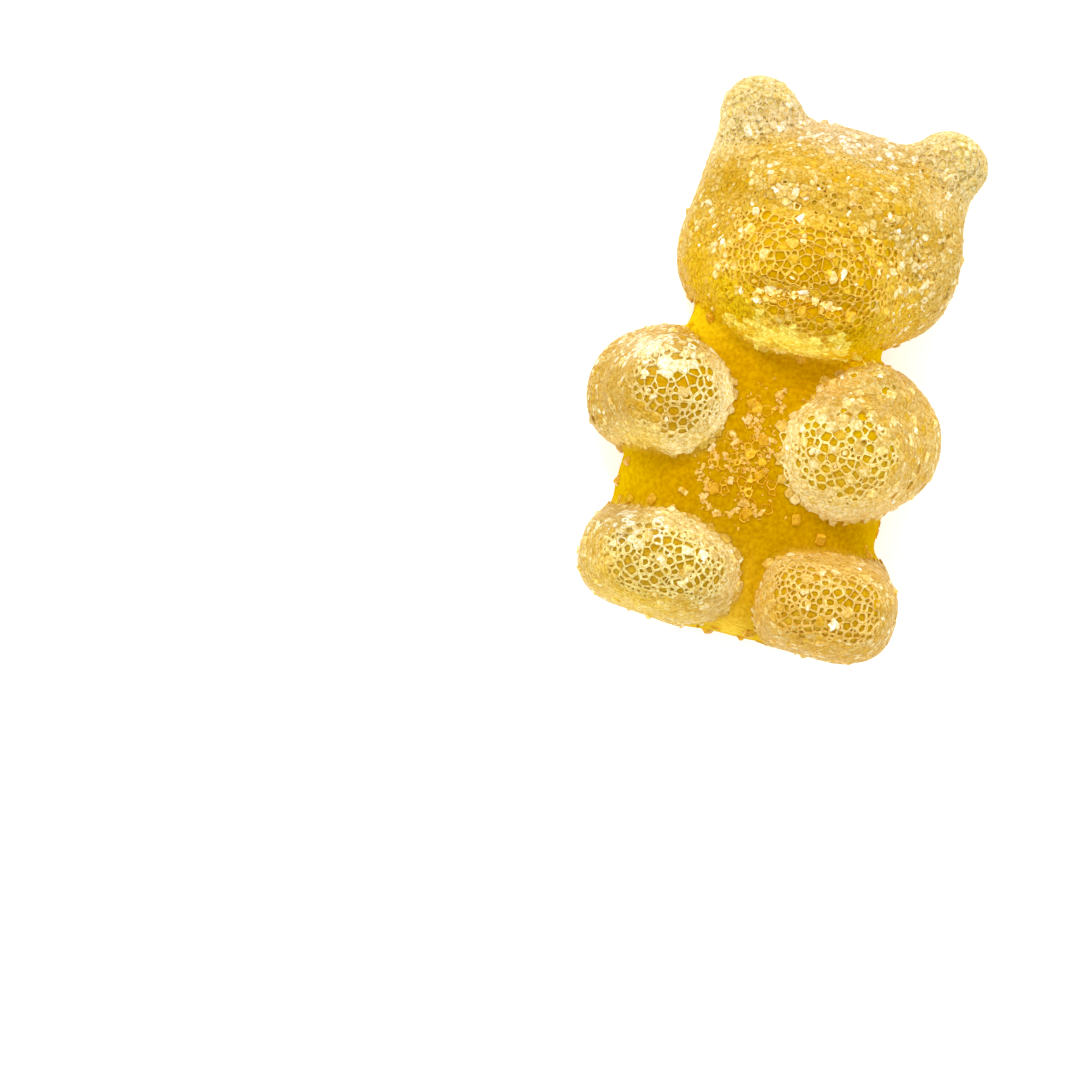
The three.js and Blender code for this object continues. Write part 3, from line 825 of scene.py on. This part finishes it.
sugar, clear = blend_parts(weights, CLOUDED), blend_parts(weights, JELLY)
window_colours = under_sugar(seeds, normals)
lid_colours = sugar * (1 - clearness) + clear * clearness
lid_colours += (PALE_EDGE - lid_colours) * np.maximum(LEDGE_PALES * ledge, frosted)
lid_colours = with_tints_and_painted_light(seeds, weights, lid_colours) * brightness
rim_colours = with_tints_and_painted_light(seeds, weights, blend_parts(weights, RIM)) * brightness
rim_colours += (lid_colours - rim_colours) * closing[:, None]
clouding = np.clip(EDGE_CLOUDING * np.maximum(closing, clouded), 0, 1)[:, None]
gap_depth = GAP_DEPTH + (1 - GAP_DEPTH) * on_limbs[:, None]
edge_colours = blend_parts(weights, RIM) * (1 - clouding) + sugar * clouding
edge_colours += (window_colours - edge_colours) * gap_depth * clearness * clouding
edge_colours += (PALE_EDGE - edge_colours) * LEDGE_PALES * ledge
edge_colours = with_tints_and_painted_light(seeds, weights, edge_colours)
for middle, reach, parts, share, lidded, colour in PATCHES:
    chance = share * patch_share(seeds, weights, middle, reach, parts) * (1 + PATCH_CLUMPS * clumps)
    if parts == "trunk":
        chance *= on_trunk**TRUNK_PATCH_FALL
    sugared = rng.random(grain_count) < chance
    taken = rng.uniform(*PATCH_TINT, (grain_count, 1)) * sugared[:, None]
    rim_colours += (colour * brightness - rim_colours) * taken
    lid_colours += (colour * brightness - lid_colours) * taken
    edge_colours += (colour - edge_colours) * taken / 2
    clouded = np.where(sugared, rng.random(grain_count) < lidded, clouded)
    rise[sugared] += PATCH_RISE
    there |= sugared
web = on_trunk[:, None] ** WEB_FALL
# Painted glow: it lifts the shade in creases, on the pale edges and in the trunk's rims, and
# lightens the listed places.
glow = painted_glow_at(seeds, normals) + LEDGE_GLOW * ledge + WEB_GLOW * web
window_colours, rim_colours = np.c_[window_colours, glow], np.c_[rim_colours, glow]
lid_colours, edge_colours = np.c_[lid_colours, glow], np.c_[edge_colours, glow]


def stack_faces(count, sides, rings, looped):
    """The faces of many stacks of rings: walls from each ring to the next, and then either a
    wall from the last ring to the first, or a lid and a bottom."""
    per_ring = count * sides
    start = (np.arange(count) * sides)[:, None]
    here, ahead = start + np.arange(sides), start + (np.arange(sides) + 1) % sides
    faces = []
    for k in range(rings if looped else rings - 1):
        low, high = k * per_ring, (k + 1) % rings * per_ring
        wall = np.stack([low + here, low + ahead, high + ahead, high + here], axis=2)
        faces.append(wall.reshape(-1, 4))
    if not looped:
        faces += [here + (rings - 1) * per_ring, here[:, ::-1]]
    return faces


def build_cells(cells, sides, lidded):
    """The cells that have this many corners, each a stack of rings: an outer wall up to a rim,
    then either an inner wall down round the window, or a bevel up to a leaning lid."""
    chosen = order[cells, :sides]
    x = np.take_along_axis(corner_x[cells], chosen, 1)
    y = np.take_along_axis(corner_y[cells], chosen, 1)
    middle_x, middle_y = x.mean(1, keepdims=True), y.mean(1, keepdims=True)
    reach = np.hypot(x - middle_x, y - middle_y)
    size = reach.mean(1, keepdims=True)
    lean_x, lean_y = lean[cells, :1], lean[cells, 1:]

    def ring(inset, height, tilted, rounding=0.0, shift=0.0):
        """The cell's corners drawn in by inset and rounded off, shifted the way the lid leans,
        laid on the skin, and raised to height."""
        share = np.clip(1 - inset / size, LEAST_WINDOW, 1)
        share = share * (1 - rounding + rounding * size / reach)
        u = middle_x + (x - middle_x) * share + shift * size * lean_y
        v = middle_y + (y - middle_y) * share - shift * size * lean_x
        place = seeds[cells, None] + u[..., None] * along[cells, None]
        place += v[..., None] * across[cells, None]
        flat = onto(skin, place.reshape(-1, 3), passes=2)
        up = np.zeros(u.shape) + np.asarray(height).reshape(-1, 1)
        if tilted:
            up += u * lean_x + v * lean_y
        return flat + unit(slope_at(skin, flat)) * up.reshape(-1, 1)

    top = rise[cells]
    window, rim = window_colours[cells], rim_colours[cells]
    lid, edge = lid_colours[cells], edge_colours[cells]
    # Painted glow at the feet of the trunk's rims, which lifts their shade.
    foot = np.c_[np.zeros((len(cells), 3)), FOOT_GLOW * web[cells]]
    rings = [ring(0.0, COAT_FOOT, False), ring(0.0, EDGE_HEIGHT, False)]
    if lidded:
        rings += [
            ring(BEVEL_INSET * size, top, True, RIM_ROUNDING / 2, shift=0.5),
            ring(LID_INSET * size, top, True, RIM_ROUNDING, shift=1.0),
        ]
        shades = [edge + foot, edge, OUTER_SHARE * edge + (1 - OUTER_SHARE) * lid, lid]
    else:
        width = rim_width[cells, None] + size * closing[cells, None]
        drop = RIM_DROP + BEVEL_DROP * closing[cells]
        rings += [
            ring(width / 2, top, True, RIM_ROUNDING / 2),
            ring(width, top - drop, True, RIM_ROUNDING),
            ring(width + RIM_SLOPE, COAT_FOOT, False, RIM_ROUNDING),
        ]
        inner = OUTER_SHARE * rim + (1 - OUTER_SHARE) * window
        shades = [edge + foot, edge, rim, rim, inner + foot]
    points = np.concatenate(rings)
    points[:, 2] = np.maximum(points[:, 2], 0)
    colours = np.concatenate([np.repeat(shade, sides, axis=0) for shade in shades])
    faces = stack_faces(len(cells), sides, len(rings), not lidded)
    return points, colours, faces, [False, True, True, lidded, False]


MOST_CORNERS = 9


def make_coat(name, wanted):
    """One piece of the coat: the cells of the grains for which wanted is true."""
    all_points, all_colours, all_faces, all_smooth = [], [], [], []
    offset = 0
    for sides in range(3, MOST_CORNERS + 1):
        for lidded in (False, True):
            cells = np.nonzero(wanted & there & (corner_count == sides) & (clouded == lidded))[0]
            if not len(cells):
                continue
            points, colours, faces, smooth = build_cells(cells, sides, lidded)
            all_points.append(points)
            all_colours.append(colours)
            all_faces += [face + offset for face in faces]
            all_smooth += smooth
            offset += len(points)
    points, colours = np.concatenate(all_points), np.concatenate(all_colours)
    make_piece(name, points, all_faces, all_smooth, coat_material, colours)


def mostly(group):
    """True for each grain that belongs to a part of this group more than to any other part."""
    return np.isin(weights.argmax(1), in_group(group))


BACK_BELOW = 0.3         # grains lower than this belong to the back

coat_material = sugar_material("fused sugar", roughness=0.3, shine=0.02)
on_back = seeds[:, 2] < BACK_BELOW
for name in ("muzzle", "head", "arms", "feet", "trunk"):
    make_coat("coat_" + name, ~on_back & mostly(name))
make_coat("coat_back", on_back)


# ---- The loose grains -----------------------------------------------------------------------

# Where they lie in clusters: the middle as seen from above, its reach, and their number. The
# first of each is the largest and whitest.
CLUSTERS = (
    (-1.25, 9.25, 0.1, 2), (-0.55, 9.25, 0.1, 2), (-0.6, 9.75, 0.25, 4), (0.55, 9.6, 0.15, 2),
    (0.85, 9.15, 0.1, 2), (2.0, 9.25, 0.1, 2), (2.35, 9.5, 0.2, 4), (-3.7, 8.8, 0.05, 1),
    (-1.8, 9.6, 0.3, 3), (-2.5, 9.3, 0.3, 3), (-2.4, 10.1, 0.4, 4), (4.65, 8.2, 0.15, 2),
    (4.5, 7.6, 0.3, 3), (4.5, 9.0, 0.3, 2), (2.4, 8.0, 0.25, 3), (2.9, 8.25, 0.1, 1),
    (-0.3, 7.4, 0.4, 3), (-1.8, 8.4, 0.2, 2), (-2.4, 7.6, 0.3, 4), (-2.0, 6.9, 0.15, 3),
    (-1.3, 7.0, 0.2, 3), (-0.8, 6.8, 0.15, 2), (2.6, 6.9, 0.2, 3), (3.0, 6.4, 0.2, 3),
    (2.3, 5.9, 0.25, 3), (0.8, 6.6, 0.7, 6), (-0.6, 6.0, 0.5, 4), (3.8, 6.0, 0.5, 6),
    (4.65, 5.7, 0.2, 3), (4.3, 5.3, 0.5, 6), (4.65, 4.75, 0.15, 3), (4.1, 4.3, 0.3, 5),
    (3.4, 4.8, 0.4, 6), (4.3, 3.6, 0.4, 6), (3.7, 3.0, 0.4, 5), (-4.0, 4.7, 0.15, 3),
    (-3.6, 4.3, 0.3, 4), (-2.9, 4.8, 0.2, 3), (-4.4, 4.0, 0.25, 3), (-3.2, 3.4, 0.35, 5),
    (-3.5, 5.4, 0.4, 5), (-4.5, 5.6, 0.4, 4), (-2.5, 5.9, 0.3, 3), (-1.7, 2.45, 0.2, 5),
    (-2.4, 2.5, 0.25, 4), (1.4, 4.3, 0.1, 2), (0.95, 4.0, 0.1, 1), (-0.5, 5.2, 0.15, 2),
    (0.1, 3.2, 0.15, 3), (1.2, 2.85, 0.15, 3), (-1.2, 2.95, 0.15, 3), (-4.9, -0.45, 0.3, 5),
    (-5.4, -1.0, 0.3, 5), (-4.65, 0.1, 0.1, 1), (-3.9, -0.4, 0.2, 2), (-5.3, -1.5, 0.3, 3),
    (-4.65, -2.4, 0.15, 2), (-2.6, -1.1, 0.2, 3), (2.35, 0.3, 0.05, 1), (3.85, 0.75, 0.1, 2),
    (1.6, -0.3, 0.05, 1), (2.9, -0.25, 0.05, 1), (2.95, -0.6, 0.1, 2), (3.9, -1.0, 0.1, 2),
    (4.3, -1.3, 0.2, 3), (5.7, -1.0, 0.1, 2), (1.35, -2.1, 0.15, 2), (2.1, -2.9, 0.15, 2),
    (2.9, -2.6, 0.1, 1), (5.5, -4.0, 0.1, 1), (0.3, -0.8, 0.03, 1), (-0.75, -2.3, 0.06, 2),
    (-1.85, -3.7, 0.05, 1), (-0.85, -4.8, 0.03, 1), (-2.6, -5.65, 0.06, 2), (-4.7, -7.7, 0.3, 3),
    (-4.0, -7.5, 0.3, 3), (-4.9, -8.4, 0.3, 3), (-2.7, -7.2, 0.3, 3), (-1.9, -7.3, 0.3, 3),
    (-1.1, -8.0, 0.3, 3), (-2.7, -8.5, 0.15, 2), (-1.6, -9.25, 0.25, 3), (3.1, -8.3, 0.05, 1),
    (3.35, -8.85, 0.1, 2), (4.6, -9.3, 0.2, 3), (3.5, -7.4, 0.15, 2),
)
CLUSTER_TURN = 2.4       # from each grain of a cluster to the next, round its middle
CLUSTER_SPREAD = (0.7, 1.2)
WHOLE_TURN = 6.3
SCATTERED = 260
SCATTERED_LOWEST = 0.4
# The chains of flakes on the belly: the bends of each.
CHAINS = (
    ((-0.75, -2.3), (-0.2, -2.7), (0.3, -2.85)),
    ((-1.15, -3.05), (-0.85, -3.5)),
    ((-1.85, -3.7), (-1.6, -4.2)),
    ((-1.4, -3.85), (-0.9, -4.3)),
    ((-2.3, -4.6), (-1.7, -5.3), (-1.75, -5.7)),
    ((-1.6, -5.8), (-1.0, -6.25), (-0.3, -5.9), (-0.1, -5.45)),
    ((-0.1, -5.45), (0.6, -5.8)),
    ((-0.7, -3.8), (-0.1, -4.3)),
    ((0.28, -0.75), (0.25, -1.6)),
    ((-0.6, -1.7), (-0.3, -2.1)),
    ((0.3, -3.1), (0.4, -3.6)),
)
CHAIN_STEP = 0.08
CHAIN_STRAY = 0.09
BELLY_MIDDLE = (-0.5, -3.9)
BELLY_REACH = (1.0, 1.4)
BELLY_SPECKS = 130
BELLY_SINK = 0.035       # how much deeper flakes and specks lie than the outside of the coat
# The line of small grains along the mouth.
MOUTH_ROW = ((-1.7, 2.75), (-0.9, 2.95), (0.3, 3.0), (1.5, 2.8))
MOUTH_GRAINS = 80
MOUTH_STRAY = (0.08, 0.06)

OUTWARD_STEPS = 60       # the steps of a line that looks for the jelly's surface
LINE_CAUTION = 0.8       # the share of the distance left that each step of a falling line takes
LINE_BACK, LINE_AHEAD = -0.5, 1        # the longest steps that it takes
LINE_START = 9           # how far before the level FOCUS_HEIGHT it starts


def dropped(seen):
    """The places on the bear that appear at the given places seen from the camera."""
    focus = np.c_[seen, np.full(len(seen), FOCUS_HEIGHT)]
    away = unit(focus - np.array((*VIEW_MIDDLE, CAMERA_DISTANCE + FOCUS_HEIGHT)))
    points = focus - away * LINE_START
    for _ in range(OUTWARD_STEPS):
        left = np.clip(skin(tuple(points.T)), LINE_BACK, LINE_AHEAD)
        points = points + away * (LINE_CAUTION * left)[:, None]
    return points


def along_line(bends, count=0):
    """Places spread evenly along a line with these bends: this many, or one at each step."""
    bends = np.array(bends)
    reached = np.concatenate([[0], np.cumsum(np.linalg.norm(np.diff(bends, axis=0), axis=1))])
    at = np.linspace(0, reached[-1], count or int(reached[-1] / CHAIN_STEP) + 1)
    return np.stack([np.interp(at, reached, bends[:, axis]) for axis in range(2)], axis=1)


CORNERS, RINGS = 8, 4    # of a small box with its edges and corners cut off
CORNER_CUT = 0.3         # the cut, as a share of the box's shortest half


def build_boxes(middles, half, axes, taper):
    """Small sugar crystals: boxes with their edges and corners cut off, each four rings of eight
    corners. half is half of each box's size along its own three axes, and taper is how far the
    top is narrower than the bottom and the two lean over."""
    count = len(middles)
    cut = CORNER_CUT * half.min(1, keepdims=True)
    sign = np.array(((1, 1), (-1, 1), (-1, -1), (1, -1)))
    turned = np.array((0, 1, 0, 1))
    rings = []
    for level, inset in ((-1, 1), (-1, 0), (1, 0), (1, 1)):
        a, b = half[:, :1] - inset * cut, half[:, 1:2] - inset * cut
        short_a, short_b = a - cut, b - cut
        u = np.stack([np.where(turned, short_a, a), np.where(turned, a, short_a)], axis=2)
        v = np.stack([np.where(turned, b, short_b), np.where(turned, short_b, b)], axis=2)
        narrowed = 1 - taper[:, :1] * (level + 1) / 2
        u = (u * sign[:, :1]).reshape(count, CORNERS) * narrowed
        v = (v * sign[:, 1:]).reshape(count, CORNERS) * narrowed
        u += level * taper[:, 1:2] * half[:, :1]
        v += level * taper[:, 2:] * half[:, 1:2]
        w = np.repeat(level * (half[:, 2:] - (1 - inset) * cut), CORNERS, axis=1)
        ring = middles[:, None] + u[..., None] * axes[0][:, None] + v[..., None] * axes[1][:, None]
        rings.append((ring + w[..., None] * axes[2][:, None]).reshape(-1, 3))
    return np.concatenate(rings), stack_faces(count, CORNERS, RINGS, False)


def draw(index, which):
    """A number from 0 to 1 that looks random, the same as in the solid."""
    value = np.sin(index * 12.9898 + which * 78.233) * 43758.5453
    return value - np.floor(value)


# The solid's own grains: each place that sugar clings to, and how many directions are tried.
SUGARED = (
    ((-0.2, 3.6, 5.0), 60), ((0.3, 6.6, 3.0), 90), ((-3.3, 9.3, 3.2), 24),
    ((4.3, 9.3, 3.0), 20), ((-4.5, -2.1, 4.8), 40), ((3.5, -2.4, 4.8), 46),
    ((-2.6, -8.7, 4.6), 46), ((3.8, -8.7, 4.6), 42), ((-0.2, -4.4, 3.0), 60),
)
LARGE_GAP = 1.2          # the least distance from one to the next
LARGE_LEAST = 0.3        # the least length of a side
LARGE_SPREAD = 0.14      # and how much longer it may be
LARGE_RISE = 0.1         # how far they stand out where the jelly faces up
LARGE_RISE_ON_WALL = 0.07
LARGE_TILT = 1.4         # how far they lean off the skin
LARGE_LOWEST = 0.8       # none lies lower than this
STEP_CAUTION = 0.7       # the share of the distance left that each step of their lines takes


def large_grains():
    """The middles, half sizes and axes of the solid's own grains, by the rule that it uses:
    lines spread evenly from each sugared place, and a grain where each leaves the jelly, unless
    another is near."""
    points, away = [], []
    for heart, tries in SUGARED:
        number = np.arange(tries)
        height = 1 - (2 * number + 1) / tries
        ring, turn = np.sqrt(1 - height**2), number * math.pi * (3 - math.sqrt(5))
        away.append(np.c_[ring * np.cos(turn), ring * np.sin(turn), height])
        points.append(np.tile(heart, (tries, 1)))
    points, away = np.concatenate(points).astype(float), np.concatenate(away)
    for _ in range(OUTWARD_STEPS):
        points = points - away * (STEP_CAUTION * jelly(tuple(points.T)))[:, None]
    places = np.empty((0, 3))
    for point in points[points[:, 2] > LARGE_LOWEST]:
        if not len(places) or np.linalg.norm(places - point, axis=1).min() >= LARGE_GAP:
            places = np.vstack([places, point])
    index = np.arange(len(places))
    size = np.stack([LARGE_LEAST + LARGE_SPREAD * draw(index, axis) for axis in range(3)], axis=1)
    outward = unit(slope_at(jelly, places))
    lean = np.stack([draw(index, which) for which in (3, 4, 5)], axis=1) - 0.5
    up = unit(outward + LARGE_TILT * lean)
    a, b, c = up.T
    first = np.stack([1 - a * a / (1 + c), -a * b / (1 + c), -a], axis=1)
    second = np.cross(up, first)
    turn = (math.pi * draw(index, 6))[:, None]
    along = first * np.cos(turn) + second * np.sin(turn)
    rise = LARGE_RISE_ON_WALL + (LARGE_RISE - LARGE_RISE_ON_WALL) * np.maximum(outward[:, 2], 0)
    middles = places + outward * (rise - size[:, 2] / 2)[:, None]
    return middles, size / 2, (along, np.cross(up, along), up)


# The sizes of the loose grains: half of each side, and how much it is stretched.
USUAL_HALF, USUAL_STRETCH = (0.045, 0.12), (0.7, 1.4)
LARGEST_HALF, LARGEST_STRETCH, LARGEST_SHAPE = (0.12, 0.2), (0.5, 1.2), (1, 1, 0.6)
MOUTH_SHAPE = (0.8, 0.6, 0.5)
BELLY_SHAPE = (1.15, 0.75, 0.3)
SPECK_SIZE = 0.5         # of a flake's
SCATTERED_SIZE = 0.75
TAPER_LOW, TAPER_HIGH = (0, -0.4, -0.4), (0.6, 0.4, 0.4)
LEANING, BELLY_LEANING, LARGEST_LEANING = 1.1, 0.3, 0.5     # how far they lean off the skin
SUNK = (-0.5, 0.4)       # how far out of the skin their middles lie, of half their height
BELLY_SUNK = 0.4         # how much less the belly's do

# Their colours, how much of the white sugar's colour they take, and their painted glow.
WHITE = tint(255, 252, 222)
MOUTH_SUGAR = tint(246, 222, 128)
FLAKE_SUGAR = tint(225, 180, 78)
SPECK_SUGAR = tint(220, 172, 56)
TRUNK_SUGAR = tint(216, 164, 28)       # the solid's own large grains on the trunk
WHITE_MOST = 0.55
LARGEST_WHITE = (0.25, 0.85)
TRUNK_LESS_WHITE = 0.5
SCATTERED_WHITE, BELLY_WHITE, SPECK_WHITE, MOUTH_WHITE = 1.5, 0.28, 0.5, 0.5
# Painted glow that lifts the shade between the mouth's small grains.
MOUTH_GLOW = 0.08
SIDE_GLOW = 0.25         # painted glow on a grain's sides, which lifts their shade


def place_loose_grains():
    """The places of the loose grains, and which of them lie in the mouth's row, on the belly, are
    its specks, are the largest of their clusters, and are scattered."""
    flakes = np.concatenate([along_line(bends) for bends in CHAINS])
    flakes += rng.normal(0, CHAIN_STRAY, flakes.shape)
    specks = rng.normal(BELLY_MIDDLE, BELLY_REACH, (BELLY_SPECKS, 2))
    row = along_line(MOUTH_ROW, MOUTH_GRAINS) + rng.normal(0, MOUTH_STRAY, (MOUTH_GRAINS, 2))
    seen = [row, flakes, specks]
    for x, y, reach, number in CLUSTERS:
        turn = CLUSTER_TURN * np.arange(number) + rng.uniform(0, WHOLE_TURN)
        far = reach * np.sqrt((np.arange(number) + 0.5) / number)
        far *= rng.uniform(*CLUSTER_SPREAD, number)
        seen.append(np.c_[x + far * np.cos(turn), y + far * np.sin(turn)])
    ends = np.cumsum([len(places) for places in seen])
    off_trunk = seeds[~mostly("trunk") & (seeds[:, 2] > SCATTERED_LOWEST)]
    chosen = rng.choice(len(off_trunk), SCATTERED, replace=False)
    places = np.concatenate([dropped(np.concatenate(seen)), off_trunk[chosen]])
    in_mouth, scattered = slice(0, ends[0]), slice(ends[-1], len(places))
    on_belly, is_speck = slice(ends[0], ends[2]), slice(ends[1], ends[2])
    return places, in_mouth, on_belly, is_speck, ends[2:-1], scattered


def make_loose_grains():
    """One piece: the loose grains, and the solid's own large ones."""
    places, in_mouth, on_belly, is_speck, largest, scattered = place_loose_grains()
    count = len(places)
    half = rng.uniform(*USUAL_HALF, (count, 1)) * rng.uniform(*USUAL_STRETCH, (count, 3))
    half[in_mouth] *= MOUTH_SHAPE
    half[on_belly] *= BELLY_SHAPE
    half[is_speck] *= SPECK_SIZE
    half[scattered] *= SCATTERED_SIZE
    half[largest] = rng.uniform(*LARGEST_HALF, (len(largest), 1))
    half[largest] *= rng.uniform(*LARGEST_STRETCH, (len(largest), 3)) * LARGEST_SHAPE
    taper = rng.uniform(TAPER_LOW, TAPER_HIGH, (count, 3))
    leaning = np.full((count, 1), LEANING)
    leaning[on_belly] = BELLY_LEANING
    leaning[largest] = LARGEST_LEANING
    outward = unit(slope_at(skin, places))
    places[on_belly] -= BELLY_SINK * outward[on_belly]
    up = unit(outward + leaning * rng.uniform(-1, 1, (count, 3)))
    along = unit(np.cross(up, rng.normal(size=(count, 3))))
    sunk = rng.uniform(*SUNK, (count, 1))
    sunk[on_belly] -= BELLY_SUNK
    middles = places + up * half[:, 2:] * sunk

    large_middles, large_half, large_axes = large_grains()
    middles, half = np.concatenate([middles, large_middles]), np.concatenate([half, large_half])
    taper = np.concatenate([taper, np.zeros((len(large_half), 3))])
    axes = [np.concatenate(pair) for pair in zip((along, np.cross(up, along), up), large_axes)]
    points, faces = build_boxes(middles, half, axes, taper)

    weights = part_weights(middles)
    on_trunk = share_of(weights, "trunk")
    own = (blend_parts(weights, RIM) + blend_parts(weights, CLOUDED)) / 2
    own = with_tints_and_painted_light(middles, weights, own)
    own[in_mouth] = MOUTH_SUGAR
    own[on_belly] = FLAKE_SUGAR
    own[is_speck] = SPECK_SUGAR
    own[count:][on_trunk[count:] > 0.5] = TRUNK_SUGAR
    white = rng.random((len(middles), 1)) ** 2 * WHITE_MOST
    white[scattered] *= SCATTERED_WHITE
    white[on_belly] *= BELLY_WHITE
    white[is_speck] *= SPECK_WHITE
    white[largest] = rng.uniform(*LARGEST_WHITE, (len(largest), 1))
    white[largest] *= 1 - TRUNK_LESS_WHITE * on_trunk[largest, None]
    white[in_mouth] *= MOUTH_WHITE
    white[count:] = 0
    glow = np.zeros(len(middles))
    glow[in_mouth] = MOUTH_GLOW
    shade = np.c_[own * (1 - white) + WHITE * white, glow]
    colours = np.tile(np.repeat(shade, CORNERS, axis=0), (RINGS, 1))
    colours[: (RINGS - 1) * CORNERS * len(shade), 3] += SIDE_GLOW
    material = sugar_material("loose sugar", roughness=0.25, shine=0.15)
    make_piece("loose_grains", points, faces, [False] * len(faces), material, colours)


make_loose_grains()


# ---- Floor, light and camera ----------------------------------------------------------------

FLOOR_HALF = 400
LIGHT_PLACE = (-60, 110, 170)
LIGHT_SIZE = 60
LIGHT_POWER = 0.2        # watts


def make_floor():
    """A plain white board."""
    mesh = bpy.data.meshes.new("floor")
    around = ((-1, -1), (1, -1), (1, 1), (-1, 1))
    corners = [(x * FLOOR_HALF * MM, y * FLOOR_HALF * MM, 0) for x, y in around]
    mesh.from_pydata(corners, [], [(0, 1, 2, 3)])
    material, shader = new_material("lit white board")
    set_inputs(shader, {
        "Base Color": (0.9, 0.9, 0.9, 1), "Roughness": 0.6,
        "Emission Color": (1, 1, 1, 1), "Emission Strength": 0.5,
    })
    mesh.materials.append(material)
    floor = new_object("floor", mesh)


def make_light():
    """One soft round lamp, turned to the bear."""
    light = bpy.data.lights.new("key", "AREA")
    light.shape = "DISK"
    light.size = LIGHT_SIZE * MM
    light.energy = LIGHT_POWER
    lamp = new_object("key", light)
    lamp.location = [c * MM for c in LIGHT_PLACE]
    lamp.rotation_mode = "QUATERNION"
    lamp.rotation_quaternion = (-Vector(LIGHT_PLACE)).to_track_quat("-Z", "Y")


def make_camera():
    """A camera straight above VIEW_MIDDLE, turned so that the bear leans in its view."""
    camera = bpy.data.cameras.new("camera")
    camera.sensor_width = 36
    camera.lens = camera.sensor_width * CAMERA_DISTANCE / (PIXELS / PIXELS_PER_MM)
    camera.clip_start, camera.clip_end = 0.01, 10
    eye = new_object("camera", camera)
    eye.location = (VIEW_MIDDLE[0] * MM, VIEW_MIDDLE[1] * MM, (FOCUS_HEIGHT + CAMERA_DISTANCE) * MM)
    eye.rotation_euler = (0, 0, math.radians(LEAN_DEGREES))
    bpy.context.scene.camera = eye


def make_world():
    """Even white light from all round."""
    world = bpy.data.worlds.new("studio")
    world.use_nodes = True
    background = world.node_tree.nodes["Background"]
    set_inputs(background, {"Color": (1, 1, 1, 1), "Strength": 0.95})
    bpy.context.scene.world = world


make_floor()
make_world()
make_light()
make_camera()
bpy.context.scene.view_settings.view_transform = "Standard"
